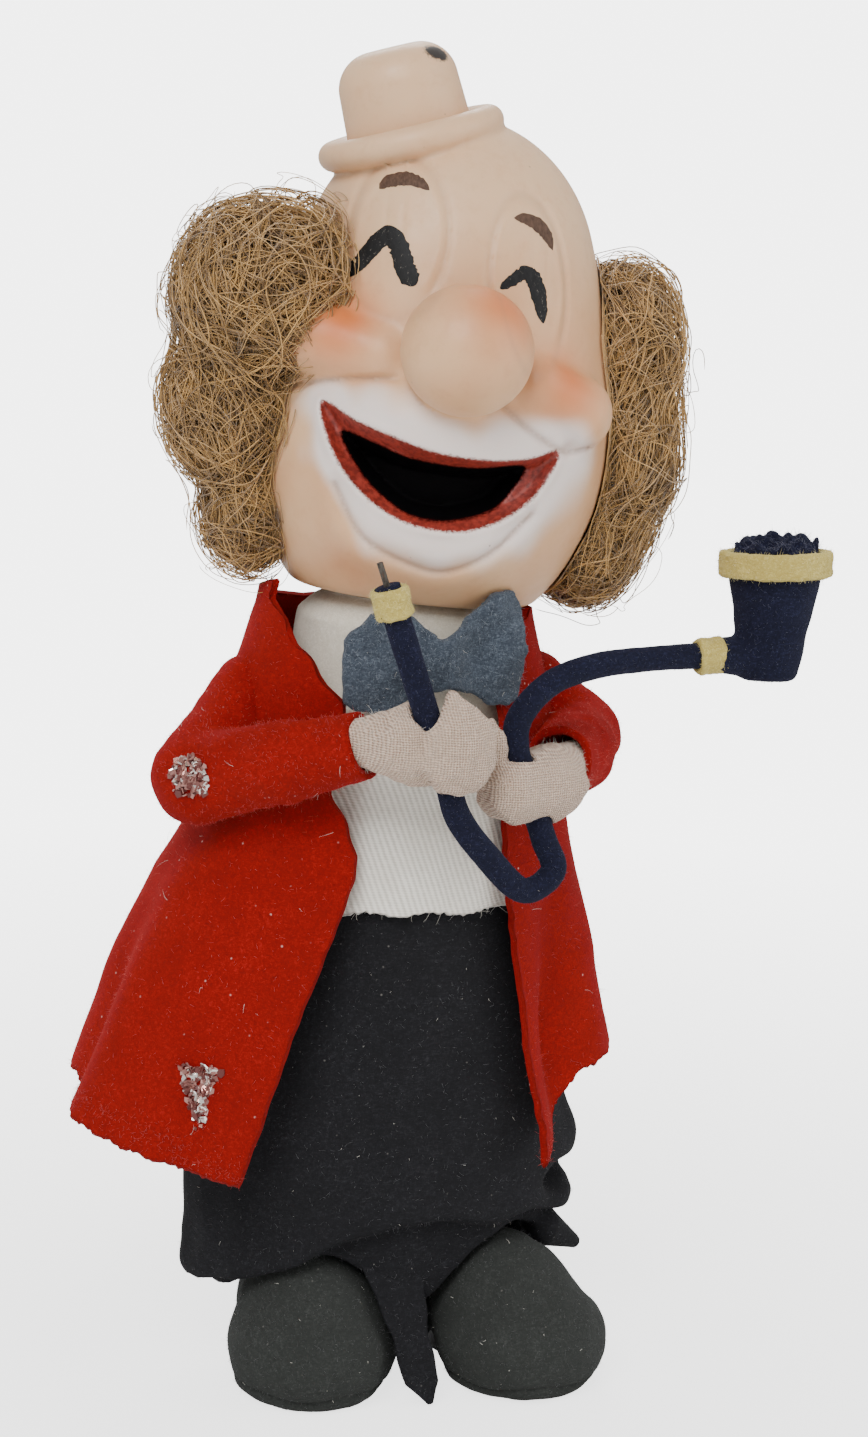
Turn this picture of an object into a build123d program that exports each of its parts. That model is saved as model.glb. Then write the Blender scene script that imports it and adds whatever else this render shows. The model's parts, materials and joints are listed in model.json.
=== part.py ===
from build123d import *
import os

# A small poseable clown figure that stands on its own shoes and holds a long looped
# pipe in both hands. Millimetres. +Z up, the doll faces -Y, +X is the doll's left.
# It is drawn round the waist, then every piece is moved so that the origin is on the
# ground under the middle of the whole outline.
FLOOR_Z = -5.0
OUTLINE_MIDDLE = (5.55, -7.2, FLOOR_Z)

# Running gap between a wire and the eye that turns on it, and the gap round glued pieces
RUNNING_GAP = 0.06
GLUE_GAP = 0.1

# Wire armature
SPINE_X = 1.6
SPINE_Y = 1.0
SPINE_RADIUS = 2.0
CROSS_WIRE_RADIUS = 1.1
LIMB_WIRE_RADIUS = 0.9
EYE_RADIUS = 2.4
EYE_LENGTH = 2.4
SHOULDER_Z = 114.0
RIGHT_SHOULDER_X = -22.0
LEFT_SHOULDER_X = 23.0
HIP_Z = 42.0
HIP_SPREAD = 13.2
ANKLE_Z = 9.0

# Neck and head
NECK_LEAN = 4.5
HEAD_YAW = -13.0
NOD_Z = 120.5
NECK_RING_RISE = 8.0
HEAD_HEIGHT = 79.0
HEAD_WALL = 1.5
NECK_RING_RADIUS = 20.0
CHEEK_RADIUS = 30.0
NOSE_RADIUS = 10.5
MOUTH_DEPTH = 23.5
MOUTH_WALL = 2.0
NECK_POST_RADIUS = 2.0
PIN_RADIUS = 1.0
NOD_EYE_RADIUS = 3.0
NOD_BOSS_HALF = 2.2

# Little bowler hat moulded with the head
HAT_LEAN = 16.0
HAT_BRIM_RADIUS = 15.5
HAT_BRIM_THICKNESS = 4.6
HAT_CROWN_RADIUS = 10.3
HAT_CROWN_HEIGHT = 14.5
HAT_CENTRE = (-1.0, 1.0, 203.2)
HAT_WALL = 2.0
HAT_HOLLOW_RADIUS = 8.0

# Clothes
FELT = 1.6
SATIN = 1.0
COAT_TOP_Z = 121.0
COAT_HEM_Z = 40.0
TROUSER_TOP_Z = 79.0
TROUSER_HEM_Z = 15.0
TROUSER_FRONT_HEM_Z = 24.0
SLEEVE_RADIUS = 5.2
ELBOW_RADIUS = 7.4

# Shoes
SHOE_TOP_Z = 17.0
SOLE_THICKNESS = 1.5
TOE_RADIUS = 13.8
HEEL_RADIUS = 9.0
WEIGHT_RADIUS = 9.0
WEIGHT_THICKNESS = 4.0
WEIGHT_Z = FLOOR_Z + 2.5

# Pipe
STEM_RADIUS = 2.1
CORE_RADIUS = 0.5
BAND_RADIUS = 2.9
BAND_LENGTH = 5.0
STEM_LEAN = 20.0
BOWL_FOOT_RADIUS = 4.8
BOWL_RIM_RADIUS = 8.4
BOWL_CENTRE = (56.3, -26.0)
BOWL_FOOT_Z = 118.6
BOWL_RIM_Z = 138.5
SHANK_Z = 121.6

os.makedirs("parts", exist_ok=True)


# ---------------------------------------------------------------- frames and helpers

x_axis = Vector(1, 0, 0)
z_axis = Vector(0, 0, 1)
neck_up = z_axis.rotate(Axis.Y, NECK_LEAN)
nod_axis = x_axis.rotate(Axis.Z, HEAD_YAW).rotate(Axis.Y, NECK_LEAN)
nod_point = Vector(SPINE_X, SPINE_Y, NOD_Z)
neck_plane = Plane(origin=nod_point, x_dir=nod_axis, z_dir=neck_up)
head_plane = neck_plane.offset(NECK_RING_RISE)
nod_pin_plane = Plane(origin=nod_point, x_dir=neck_up, z_dir=nod_axis)


def save(builder, name):
    """Moves a finished piece to the origin, labels it and writes it as its own STEP."""
    piece = builder.part.moved(Location(-Vector(OUTLINE_MIDDLE)))
    piece.label = name
    export_step(piece, f"parts/{name}.step")


def rod_run(points, radius):
    """Round rods of one radius through the points, with a ball at each bend."""
    with BuildPart(mode=Mode.PRIVATE) as run:
        for start, end in zip(points, points[1:]):
            reach = Vector(end) - Vector(start)
            with BuildSketch(Plane(origin=start, z_dir=reach)):
                Circle(radius)
            extrude(amount=reach.length)
        for bend in points[1:-1]:
            with Locations(bend):
                Sphere(radius)
    return run.part


def blob(centre, half_sizes):
    """An egg-shaped solid with three half sizes about its centre."""
    with BuildPart(mode=Mode.PRIVATE) as egg:
        Sphere(1)
        scale(by=half_sizes)
    return egg.part.moved(Location(Vector(centre)))


def oval_loft(sections, shrink=0.0):
    """A loft through ovals, each given as (z, centre x, centre y, half width, half depth)."""
    with BuildPart(mode=Mode.PRIVATE) as body:
        for z, centre_x, centre_y, half_width, half_depth in sections:
            with BuildSketch(Plane.XY.offset(z)):
                with Locations((centre_x, centre_y)):
                    Ellipse(half_width - shrink, half_depth - shrink)
        loft()
    return body.part


def stretch_ends(sections, extra):
    """The same sections with both end ovals pushed out, for a cutter that breaks through."""
    first = (sections[0][0] - extra, *sections[0][1:])
    last = (sections[-1][0] + extra, *sections[-1][1:])
    return [first, *sections[1:-1], last]


# ---------------------------------------------------------------- torso frame

with BuildPart() as spine_post:
    with BuildSketch(Plane((SPINE_X, SPINE_Y, HIP_Z - 6))):
        Circle(SPINE_RADIUS)
    extrude(amount=NOD_Z - HIP_Z + 6)
    with BuildSketch(nod_pin_plane):
        Circle(NOD_EYE_RADIUS)
    extrude(amount=NOD_BOSS_HALF, both=True)
    with BuildSketch(nod_pin_plane):
        Circle(PIN_RADIUS)
    extrude(amount=4, both=True, mode=Mode.SUBTRACT)
    with BuildSketch(Plane.YZ):
        with Locations((SPINE_Y, SHOULDER_Z), (SPINE_Y, HIP_Z)):
            Circle(CROSS_WIRE_RADIUS)
    extrude(amount=10, both=True, mode=Mode.SUBTRACT)
save(spine_post, "spine_post")

with BuildPart() as neck_pin:
    with BuildSketch(nod_pin_plane):
        Circle(PIN_RADIUS)
    extrude(amount=NOD_BOSS_HALF + 2.2, both=True)
save(neck_pin, "neck_pin")

with BuildPart() as shoulder_wire:
    with BuildSketch(Plane.YZ.offset(RIGHT_SHOULDER_X - 2)):
        with Locations((SPINE_Y, SHOULDER_Z)):
            Circle(CROSS_WIRE_RADIUS)
    extrude(amount=LEFT_SHOULDER_X - RIGHT_SHOULDER_X + 4)
save(shoulder_wire, "shoulder_wire")

with BuildPart() as hip_wire:
    with BuildSketch(Plane.YZ):
        with Locations((SPINE_Y, HIP_Z)):
            Circle(CROSS_WIRE_RADIUS)
    extrude(amount=HIP_SPREAD + 3, both=True)
save(hip_wire, "hip_wire")

padding_sections = [
    (48, 0, 0, 20, 15),
    (66, 0, 0, 22, 17),
    (86, 0, 0, 20, 17),
    (104, 0.5, 0, 16, 16),
    (112, 1, 0, 12.6, 12.4),
]
with BuildPart() as torso_padding:
    add(oval_loft(padding_sections))
    with BuildSketch(Plane.XY):
        with Locations((SPINE_X, SPINE_Y)):
            Circle(SPINE_RADIUS + GLUE_GAP)
    extrude(amount=COAT_TOP_Z, mode=Mode.SUBTRACT)
save(torso_padding, "torso_padding")


# ---------------------------------------------------------------- clothes on the torso

with BuildPart() as collar:
    with BuildSketch(Plane.XY.offset(112.5)):
        with Locations((1, 0)):
            Ellipse(15.4, 15)
            Ellipse(13.2, 12.8, mode=Mode.SUBTRACT)
    extrude(amount=11)
    with BuildSketch(Plane.YZ):
        with Locations((SPINE_Y, SHOULDER_Z)):
            Circle(CROSS_WIRE_RADIUS + GLUE_GAP)
    extrude(amount=30, both=True, mode=Mode.SUBTRACT)
save(collar, "collar")

# The satin panel is the front of a shell that wraps the padding
shirt_sections = [
    (76, 0, 0, 21.9, 18.4),
    (86, 0, 0, 21.6, 18.6),
    (104, 0.5, 0, 17.8, 17.8),
    (111.5, 1, 0, 16, 15.8),
]
with BuildPart() as shirt_front:
    add(oval_loft(shirt_sections))
    add(oval_loft(stretch_ends(shirt_sections, 1), SATIN), mode=Mode.SUBTRACT)
    with BuildSketch(Plane.XZ):
        with Locations((0, 95)):
            Rectangle(27, 60)
    extrude(amount=30, mode=Mode.INTERSECT)
save(shirt_front, "shirt_front")

with BuildPart() as bow_tie:
    with BuildSketch(Plane.XZ.offset(19)):
        with BuildLine():
            Polyline((1, 119.5), (-12.5, 122.5), (-13, 111), (0, 113.5), (13, 113), (14, 123.4), close=True)
        make_face()
    extrude(amount=3)
    fillet(bow_tie.edges().filter_by(Axis.Y), 1)
    with BuildSketch(Plane.XZ.offset(19)):
        with Locations((0.5, 116.6)):
            Circle(3.6)
    extrude(amount=4.2)
save(bow_tie, "bow_tie")

# The coat flares more on the doll's right, where its tail is pulled outwards
coat_sections = [
    (COAT_HEM_Z, -4.5, 1, 50, 29),
    (56, -4.5, 1, 45, 27.5),
    (70, -3.5, 0.5, 39, 26),
    (80, -2, 0, 33, 24.5),
    (90, 0, 0, 27, 23),
    (106, 0.5, 0, 20.5, 20.5),
    (COAT_TOP_Z, 1, 0, 18.5, 18.2),
]
with BuildPart() as coat:
    add(oval_loft(coat_sections))
    add(oval_loft(stretch_ends(coat_sections, 1), FELT), mode=Mode.SUBTRACT)
    with BuildSketch(Plane.XZ):
        with BuildLine():
            Polyline((-15, 125), (-15.5, 84), (-33, 35), (23, 35), (13, 84), (12, 125), close=True)
        make_face()
    extrude(amount=40, mode=Mode.SUBTRACT)
    with BuildSketch(Plane.YZ):
        with Locations((SPINE_Y, SHOULDER_Z)):
            Circle(3)
    extrude(amount=40, both=True, mode=Mode.SUBTRACT)
save(coat, "coat")

patch_plane = Plane(origin=(-39.9, -20.4, 49), z_dir=(-0.62, -0.75, 0.25))
with BuildPart() as coat_glitter_patch:
    with BuildSketch(patch_plane):
        RegularPolygon(4.2, 3)
    extrude(amount=0.8)
save(coat_glitter_patch, "coat_glitter_patch")

trouser_sections = [
    (TROUSER_HEM_Z, 0, 0, 35.2, 22),
    (36, 0, 0, 34.5, 22),
    (60, 0, 0, 29, 21.5),
    (TROUSER_TOP_Z, 0, 0, 24.6, 20.6),
]
with BuildPart() as trousers:
    add(oval_loft(trouser_sections))
    add(oval_loft(stretch_ends(trouser_sections, 1), FELT), mode=Mode.SUBTRACT)
    with BuildSketch(Plane.XY.offset(TROUSER_HEM_Z)):
        with Locations((0, -28)):
            Rectangle(80, 44)
    extrude(amount=TROUSER_FRONT_HEM_Z - TROUSER_HEM_Z, mode=Mode.SUBTRACT)
save(trousers, "trousers")


# ---------------------------------------------------------------- neck

EAR_WIDTH = 1.5
EAR_GAP = 0.25
FLANGE_RADIUS = 3.6
PLUG_BOTTOM = 9.2
PLUG_TOP = 17.0

ear_offset = NOD_BOSS_HALF + EAR_GAP
with BuildPart() as neck_post:
    for side in (1, -1):
        with BuildSketch(nod_pin_plane.offset(side * (ear_offset + EAR_WIDTH / 2))):
            Circle(NOD_EYE_RADIUS)
            with Locations((2.5, 0)):
                Rectangle(5, 4.4)
        extrude(amount=EAR_WIDTH / 2, both=True)
    with BuildSketch(neck_plane.offset(3.6)):
        Rectangle(2 * (ear_offset + EAR_WIDTH), 4.4)
    extrude(amount=2)
    with BuildSketch(neck_plane.offset(5)):
        Circle(NECK_POST_RADIUS)
    extrude(amount=PLUG_TOP - 2)
    with BuildSketch(neck_plane.offset(PLUG_BOTTOM - 1.6)):
        Circle(FLANGE_RADIUS)
    extrude(amount=1.4)
    with BuildSketch(neck_plane.offset(PLUG_TOP + 0.2)):
        Circle(FLANGE_RADIUS)
    extrude(amount=2.5)
    with BuildSketch(nod_pin_plane):
        Circle(PIN_RADIUS + RUNNING_GAP)
    extrude(amount=6, both=True, mode=Mode.SUBTRACT)
save(neck_post, "neck_post")


# ---------------------------------------------------------------- head

def pear(neck_radius, cheek_radius, height):
    """The bald pear-shaped head as a solid of revolution on the head's own axis."""
    profile_plane = Plane(origin=head_plane.origin, x_dir=nod_axis, z_dir=-head_plane.y_dir)
    with BuildPart(mode=Mode.PRIVATE) as body:
        with BuildSketch(profile_plane):
            with BuildLine():
                Spline(
                    (neck_radius, 0),
                    (cheek_radius - 1, 17),
                    (cheek_radius, 29),
                    (cheek_radius - 5, 56),
                    (cheek_radius * 0.35, height - 4),
                    (0, height),
                    tangents=((0.5, 1), (-1, 0)),
                )
                Line((0, height), (0, 0))
                Line((0, 0), (neck_radius, 0))
            make_face()
        revolve(axis=Axis(head_plane.origin, neck_up))
    return body.part


def little_hat():
    """The bowler as one turned solid: a rolled brim and a round-topped crown."""
    hat_centre = Vector(HAT_CENTRE)
    hat_up = z_axis.rotate(Axis.Y, -HAT_LEAN)
    half_brim = HAT_BRIM_THICKNESS / 2
    edge = HAT_BRIM_RADIUS - half_brim
    shoulder = HAT_CROWN_HEIGHT - 5
    with BuildPart(mode=Mode.PRIVATE) as hat:
        with BuildSketch(Plane(origin=hat_centre, x_dir=x_axis.rotate(Axis.Y, -HAT_LEAN), z_dir=(0, -1, 0))):
            with BuildLine():
                Line((0, -half_brim), (edge, -half_brim))
                ThreePointArc((edge, -half_brim), (HAT_BRIM_RADIUS, 0), (edge, half_brim))
                Line((edge, half_brim), (HAT_CROWN_RADIUS, half_brim))
                Line((HAT_CROWN_RADIUS, half_brim), (HAT_CROWN_RADIUS - 0.5, shoulder))
                Spline(
                    (HAT_CROWN_RADIUS - 0.5, shoulder),
                    (0, HAT_CROWN_HEIGHT),
                    tangents=((0, 1), (-1, 0)),
                )
                Line((0, HAT_CROWN_HEIGHT), (0, -half_brim))
            make_face()
        revolve(axis=Axis(hat_centre, hat_up))
    return hat.part


def inside_head(gap):
    """The head's inside, one wall and a further gap in from the outside."""
    inset = HEAD_WALL + gap
    return pear(NECK_RING_RADIUS - inset, CHEEK_RADIUS - inset, HEAD_HEIGHT - inset)


head_outer = pear(NECK_RING_RADIUS, CHEEK_RADIUS, HEAD_HEIGHT)
mouth_plane = Plane(origin=head_plane.origin, x_dir=nod_axis, z_dir=-head_plane.y_dir)

with BuildPart() as head_shell:
    add(head_outer)
    nose_centre = head_plane.from_local_coords(Vector(0, -33, 43))
    with Locations(nose_centre):
        Sphere(NOSE_RADIUS)
    add(little_hat())
    # The inside follows the outside one wall in, less a block that backs the open mouth
    with BuildPart(mode=Mode.PRIVATE) as mouth_backing:
        with BuildSketch(mouth_plane.offset(MOUTH_DEPTH - MOUTH_WALL)):
            with Locations((0, 23)):
                RectangleRounded(44, 24, 5)
        extrude(amount=30)
    add(inside_head(0) - mouth_backing.part, mode=Mode.SUBTRACT)
    with Locations(nose_centre):
        Sphere(NOSE_RADIUS - HEAD_WALL, mode=Mode.SUBTRACT)
    hat_hollow = blob((0, 0, 0), (HAT_HOLLOW_RADIUS, HAT_HOLLOW_RADIUS, HAT_CROWN_HEIGHT - HAT_WALL))
    add(hat_hollow.rotate(Axis.Y, -HAT_LEAN).moved(Location(Vector(HAT_CENTRE))), mode=Mode.SUBTRACT)
    with BuildSketch(mouth_plane.offset(MOUTH_DEPTH)):
        with BuildLine():
            ThreePointArc((-17, 30), (0, 13.5), (17, 27))
            ThreePointArc((17, 27), (0, 22.5), (-17, 30))
        make_face()
    extrude(amount=20, mode=Mode.SUBTRACT)
save(head_shell, "head_shell")

with BuildPart() as neck_plug:
    with BuildSketch(neck_plane.offset(PLUG_BOTTOM)):
        Circle(CHEEK_RADIUS)
        Circle(NECK_POST_RADIUS + RUNNING_GAP, mode=Mode.SUBTRACT)
    extrude(amount=PLUG_TOP - PLUG_BOTTOM)
    add(inside_head(GLUE_GAP), mode=Mode.INTERSECT)
save(neck_plug, "neck_plug")

head_clearance = pear(NECK_RING_RADIUS, CHEEK_RADIUS + 0.3, HEAD_HEIGHT + 0.3)
with BuildPart() as right_hair_tuft:
    with Locations(head_plane.from_local_coords(Vector(-31.5, -6, 42))):
        Sphere(13)
    add(blob(head_plane.from_local_coords(Vector(-28.5, -5, 21)), (8.5, 8, 14)))
    add(head_clearance, mode=Mode.SUBTRACT)
save(right_hair_tuft, "right_hair_tuft")

with BuildPart() as left_hair_tuft:
    add(blob(head_plane.from_local_coords(Vector(30, 5.5, 31)), (10.5, 10.5, 25)))
    add(head_clearance, mode=Mode.SUBTRACT)
save(left_hair_tuft, "left_hair_tuft")


# ---------------------------------------------------------------- pipe

# The stem is straight through both fists, so it slides up and down in them
stem_up = z_axis.rotate(Axis.Y, -STEM_LEAN)
right_grip = Vector(-6.5, -39, 110)
left_grip = Vector(10.8, -34, 103)
MOUTHPIECE_REACH = 26.5
TIP_REACH = 4.4

mouthpiece_end = right_grip + stem_up * MOUTHPIECE_REACH
band_end = Vector(42.6, BOWL_CENTRE[1], SHANK_Z)
bowl_entry = Vector(BOWL_CENTRE[0] - BOWL_FOOT_RADIUS, BOWL_CENTRE[1], SHANK_Z)

with BuildLine() as stem_path:
    Line(mouthpiece_end, right_grip - stem_up * 12)
    Spline(
        right_grip - stem_up * 12,
        (2.6, -38, 92.6),
        (10.2, -36, 85.8),
        (15.9, -34.6, 88.4),
        left_grip - stem_up * 10,
        tangents=(-stem_up, stem_up),
    )
    Line(left_grip - stem_up * 10, left_grip + stem_up * 6)
    Spline(
        left_grip + stem_up * 6,
        (15.2, -32, 118.4),
        band_end,
        tangents=(stem_up, x_axis),
    )


def along_stem(radius):
    """A round rod of one radius that follows the whole stem."""
    with BuildPart(mode=Mode.PRIVATE) as rod:
        with BuildSketch(Plane(origin=mouthpiece_end, z_dir=-stem_up)):
            Circle(radius)
        sweep(path=stem_path.wires()[0])
    return rod.part


with BuildPart() as pipe_stem:
    add(along_stem(STEM_RADIUS))
    add(along_stem(CORE_RADIUS + GLUE_GAP), mode=Mode.SUBTRACT)
save(pipe_stem, "pipe_stem")

with BuildPart() as pipe_wire:
    add(along_stem(CORE_RADIUS))
    add(rod_run([mouthpiece_end, mouthpiece_end + stem_up * TIP_REACH], CORE_RADIUS))
    add(rod_run([band_end, bowl_entry + x_axis * 2], CORE_RADIUS))
save(pipe_wire, "pipe_wire")

with BuildPart() as mouthpiece_band:
    with BuildSketch(Plane(origin=mouthpiece_end, z_dir=-stem_up)):
        Circle(BAND_RADIUS)
        Circle(STEM_RADIUS + GLUE_GAP, mode=Mode.SUBTRACT)
    extrude(amount=BAND_LENGTH)
save(mouthpiece_band, "mouthpiece_band")

with BuildPart() as shank_band:
    with BuildSketch(Plane(origin=band_end + x_axis * GLUE_GAP, z_dir=x_axis)):
        Circle(BAND_RADIUS)
        Circle(CORE_RADIUS + 2 * GLUE_GAP, mode=Mode.SUBTRACT)
    extrude(amount=BAND_LENGTH)
save(shank_band, "shank_band")

with BuildPart() as pipe_bowl:
    with BuildSketch(Plane.XY.offset(BOWL_FOOT_Z)):
        with Locations(BOWL_CENTRE):
            Circle(BOWL_FOOT_RADIUS)
    with BuildSketch(Plane.XY.offset(BOWL_RIM_Z)):
        with Locations(BOWL_CENTRE):
            Circle(BOWL_RIM_RADIUS)
    loft()
    fillet(pipe_bowl.edges().sort_by(Axis.Z)[0], 2)
    shank_start = band_end + x_axis * (BAND_LENGTH + 2 * GLUE_GAP)
    with BuildSketch(Plane(origin=shank_start, z_dir=bowl_entry - shank_start)):
        Circle(STEM_RADIUS + 0.3)
    extrude(amount=6)
    with BuildSketch(Plane.XY.offset(BOWL_FOOT_Z + 8)):
        with Locations(BOWL_CENTRE):
            Circle(BOWL_FOOT_RADIUS - 0.2)
    with BuildSketch(Plane.XY.offset(BOWL_RIM_Z)):
        with Locations(BOWL_CENTRE):
            Circle(BOWL_RIM_RADIUS - FELT)
    loft(mode=Mode.SUBTRACT)
    add(rod_run([band_end, bowl_entry + x_axis * 3], CORE_RADIUS + GLUE_GAP), mode=Mode.SUBTRACT)
save(pipe_bowl, "pipe_bowl")

with BuildPart() as rim_band:
    with BuildSketch(Plane.XY.offset(BOWL_RIM_Z - 4)):
        with Locations(BOWL_CENTRE):
            Circle(BOWL_RIM_RADIUS + 0.9)
            Circle(BOWL_RIM_RADIUS + GLUE_GAP, mode=Mode.SUBTRACT)
    extrude(amount=4.6)
save(rim_band, "rim_band")

with BuildPart() as bowl_filling:
    with BuildSketch(Plane.XY.offset(BOWL_RIM_Z - 7)):
        with Locations(BOWL_CENTRE):
            Circle(4.6)
    with BuildSketch(Plane.XY.offset(BOWL_RIM_Z + 3)):
        with Locations(BOWL_CENTRE):
            Circle(6.4)
    loft()
    fillet(bowl_filling.edges().sort_by(Axis.Z)[-1], 2)
save(bowl_filling, "bowl_filling")


# ---------------------------------------------------------------- arms

def shoulder_eye(builder_x):
    """The round wire eye that turns on the shoulder wire."""
    with BuildPart(mode=Mode.PRIVATE) as eye:
        with BuildSketch(Plane.YZ.offset(builder_x)):
            with Locations((SPINE_Y, SHOULDER_Z)):
                Circle(EYE_RADIUS)
        extrude(amount=EYE_LENGTH / 2, both=True)
    return eye.part


def shoulder_bore(builder_x):
    """The hole in a shoulder eye, one running gap wider than the shoulder wire."""
    with BuildPart(mode=Mode.PRIVATE) as bore:
        with BuildSketch(Plane.YZ.offset(builder_x)):
            with Locations((SPINE_Y, SHOULDER_Z)):
                Circle(CROSS_WIRE_RADIUS + RUNNING_GAP)
        extrude(amount=EYE_LENGTH, both=True)
    return bore.part


def grip_channel(grip, radius, reach):
    """A round channel along the stem through a fist."""
    with BuildPart(mode=Mode.PRIVATE) as channel:
        with BuildSketch(Plane(origin=grip, z_dir=stem_up)):
            Circle(radius)
        extrude(amount=reach, both=True)
    return channel.part


right_shoulder = Vector(RIGHT_SHOULDER_X, SPINE_Y, SHOULDER_Z)
left_shoulder = Vector(LEFT_SHOULDER_X, SPINE_Y, SHOULDER_Z)
right_elbow = Vector(-38, -8, 99)
right_cuff = Vector(-15.3, -31, 108.5)
left_elbow = Vector(31, -4, 103)
left_cuff = Vector(23, -24, 101.8)

left_wire_points = [left_shoulder + x_axis * 1.2, left_elbow, left_cuff, (17.5, -29, 102.3)]
with BuildPart() as left_arm_wire:
    add(rod_run(left_wire_points, LIMB_WIRE_RADIUS))
    add(shoulder_eye(LEFT_SHOULDER_X))
    add(shoulder_bore(LEFT_SHOULDER_X), mode=Mode.SUBTRACT)
save(left_arm_wire, "left_arm_wire")

left_sleeve_start = left_shoulder + (left_elbow - left_shoulder) * 0.42 + x_axis * 1.6
with BuildPart() as left_sleeve:
    add(rod_run([left_sleeve_start, left_elbow, left_cuff], SLEEVE_RADIUS + 0.6))
    inner_end = left_cuff + (left_cuff - left_elbow) * 0.1
    inner_start = left_sleeve_start - (left_elbow - left_sleeve_start) * 0.2
    add(rod_run([inner_start, left_elbow, inner_end], SLEEVE_RADIUS - 1), mode=Mode.SUBTRACT)
save(left_sleeve, "left_sleeve")

with BuildPart() as left_hand:
    add(blob((11.6, -33.6, 103), (9.6, 5.6, 6.4)))
    add(rod_run([left_cuff + (left_cuff - left_elbow) * 0.04, (15, -32, 102.6)], 3.8))
    add(blob((5.6, -33.5, 108.6), (2.6, 2.6, 4.8)))
    add(grip_channel(left_grip, STEM_RADIUS + RUNNING_GAP, 14), mode=Mode.SUBTRACT)
    add(rod_run(left_wire_points[1:], LIMB_WIRE_RADIUS + GLUE_GAP), mode=Mode.SUBTRACT)
save(left_hand, "left_hand")

upper_reach = right_elbow - right_shoulder
upper_direction = upper_reach.normalized()
eye_approach = right_elbow - Vector(upper_reach.X, upper_reach.Y, 0).normalized() * 2.9
with BuildPart() as right_upper_arm_wire:
    add(rod_run([right_shoulder - x_axis * 1.2, eye_approach, right_elbow], LIMB_WIRE_RADIUS))
    add(shoulder_eye(RIGHT_SHOULDER_X))
    add(shoulder_bore(RIGHT_SHOULDER_X), mode=Mode.SUBTRACT)
    with BuildSketch(Plane(right_elbow)):
        Circle(EYE_RADIUS)
    extrude(amount=1, both=True)
    with BuildSketch(Plane(right_elbow)):
        Circle(PIN_RADIUS + RUNNING_GAP)
    extrude(amount=4, both=True, mode=Mode.SUBTRACT)
save(right_upper_arm_wire, "right_upper_arm_wire")

with BuildPart() as right_upper_sleeve:
    sleeve_start = right_shoulder + upper_direction * 6 - x_axis * 1.5
    sleeve_end = right_elbow - upper_direction * 11.5
    sleeve_plane = Plane(origin=sleeve_start, z_dir=sleeve_end - sleeve_start)
    with BuildSketch(sleeve_plane):
        Circle(SLEEVE_RADIUS)
        Circle(SLEEVE_RADIUS - 1.2, mode=Mode.SUBTRACT)
    extrude(amount=(sleeve_end - sleeve_start).length)
save(right_upper_sleeve, "right_upper_sleeve")

fore_direction = (right_cuff - right_elbow).normalized()
fore_wire_end = right_cuff + fore_direction * 5
with BuildPart() as right_forearm_wire:
    add(rod_run([right_elbow - z_axis * 3.2, right_cuff, fore_wire_end], LIMB_WIRE_RADIUS))
    with BuildSketch(Plane(right_elbow - z_axis * 4.1)):
        Circle(EYE_RADIUS)
    extrude(amount=2.9)
    with BuildSketch(Plane(right_elbow - z_axis * 4.1)):
        Circle(PIN_RADIUS)
    extrude(amount=6.2)
    with BuildSketch(Plane(right_elbow + z_axis * 1.2)):
        Circle(PIN_RADIUS + 0.6)
    extrude(amount=1)
save(right_forearm_wire, "right_forearm_wire")

with BuildPart() as right_forearm_sleeve:
    with Locations(right_elbow):
        Sphere(ELBOW_RADIUS)
    add(rod_run([right_elbow, right_cuff], SLEEVE_RADIUS))
    with Locations(right_elbow):
        Sphere(ELBOW_RADIUS - 1.2, mode=Mode.SUBTRACT)
    add(rod_run([right_elbow, right_cuff + fore_direction], SLEEVE_RADIUS - 1.2), mode=Mode.SUBTRACT)
    # The top of the elbow is open, so the upper wire can swing round in it
    with BuildSketch(Plane(right_elbow + z_axis * 0.8)):
        Circle(ELBOW_RADIUS + 1)
    extrude(amount=12, mode=Mode.SUBTRACT)
save(right_forearm_sleeve, "right_forearm_sleeve")

with BuildPart() as right_hand:
    add(blob((-6.8, -39.4, 110), (9, 6, 7)))
    add(rod_run([right_cuff + fore_direction * 0.4, (-10, -36, 110)], 3.7))
    add(blob((-2, -38.6, 115.6), (2.5, 2.5, 4.4)))
    # The fist is open behind the stem, so the hand can let go of it forwards
    add(grip_channel(right_grip, STEM_RADIUS + 0.4, 16), mode=Mode.SUBTRACT)
    release = Vector(1, 1, 0).normalized()
    slot_plane = Plane(origin=right_grip + release * 8, x_dir=release, z_dir=stem_up)
    with BuildSketch(slot_plane):
        Rectangle(16, 2 * STEM_RADIUS + 0.8)
    extrude(amount=16, both=True, mode=Mode.SUBTRACT)
    add(rod_run([right_cuff, fore_wire_end], LIMB_WIRE_RADIUS + GLUE_GAP), mode=Mode.SUBTRACT)
save(right_hand, "right_hand")

elbow_patch_direction = Vector(-2.6, -6, 1.2).normalized()
with BuildPart() as elbow_glitter_patch:
    patch_centre = right_elbow + elbow_patch_direction * (ELBOW_RADIUS + 0.2)
    with BuildSketch(Plane(origin=patch_centre, z_dir=elbow_patch_direction)):
        Circle(3.4)
    extrude(amount=0.8)
save(elbow_glitter_patch, "elbow_glitter_patch")


# ---------------------------------------------------------------- legs and shoes

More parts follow.
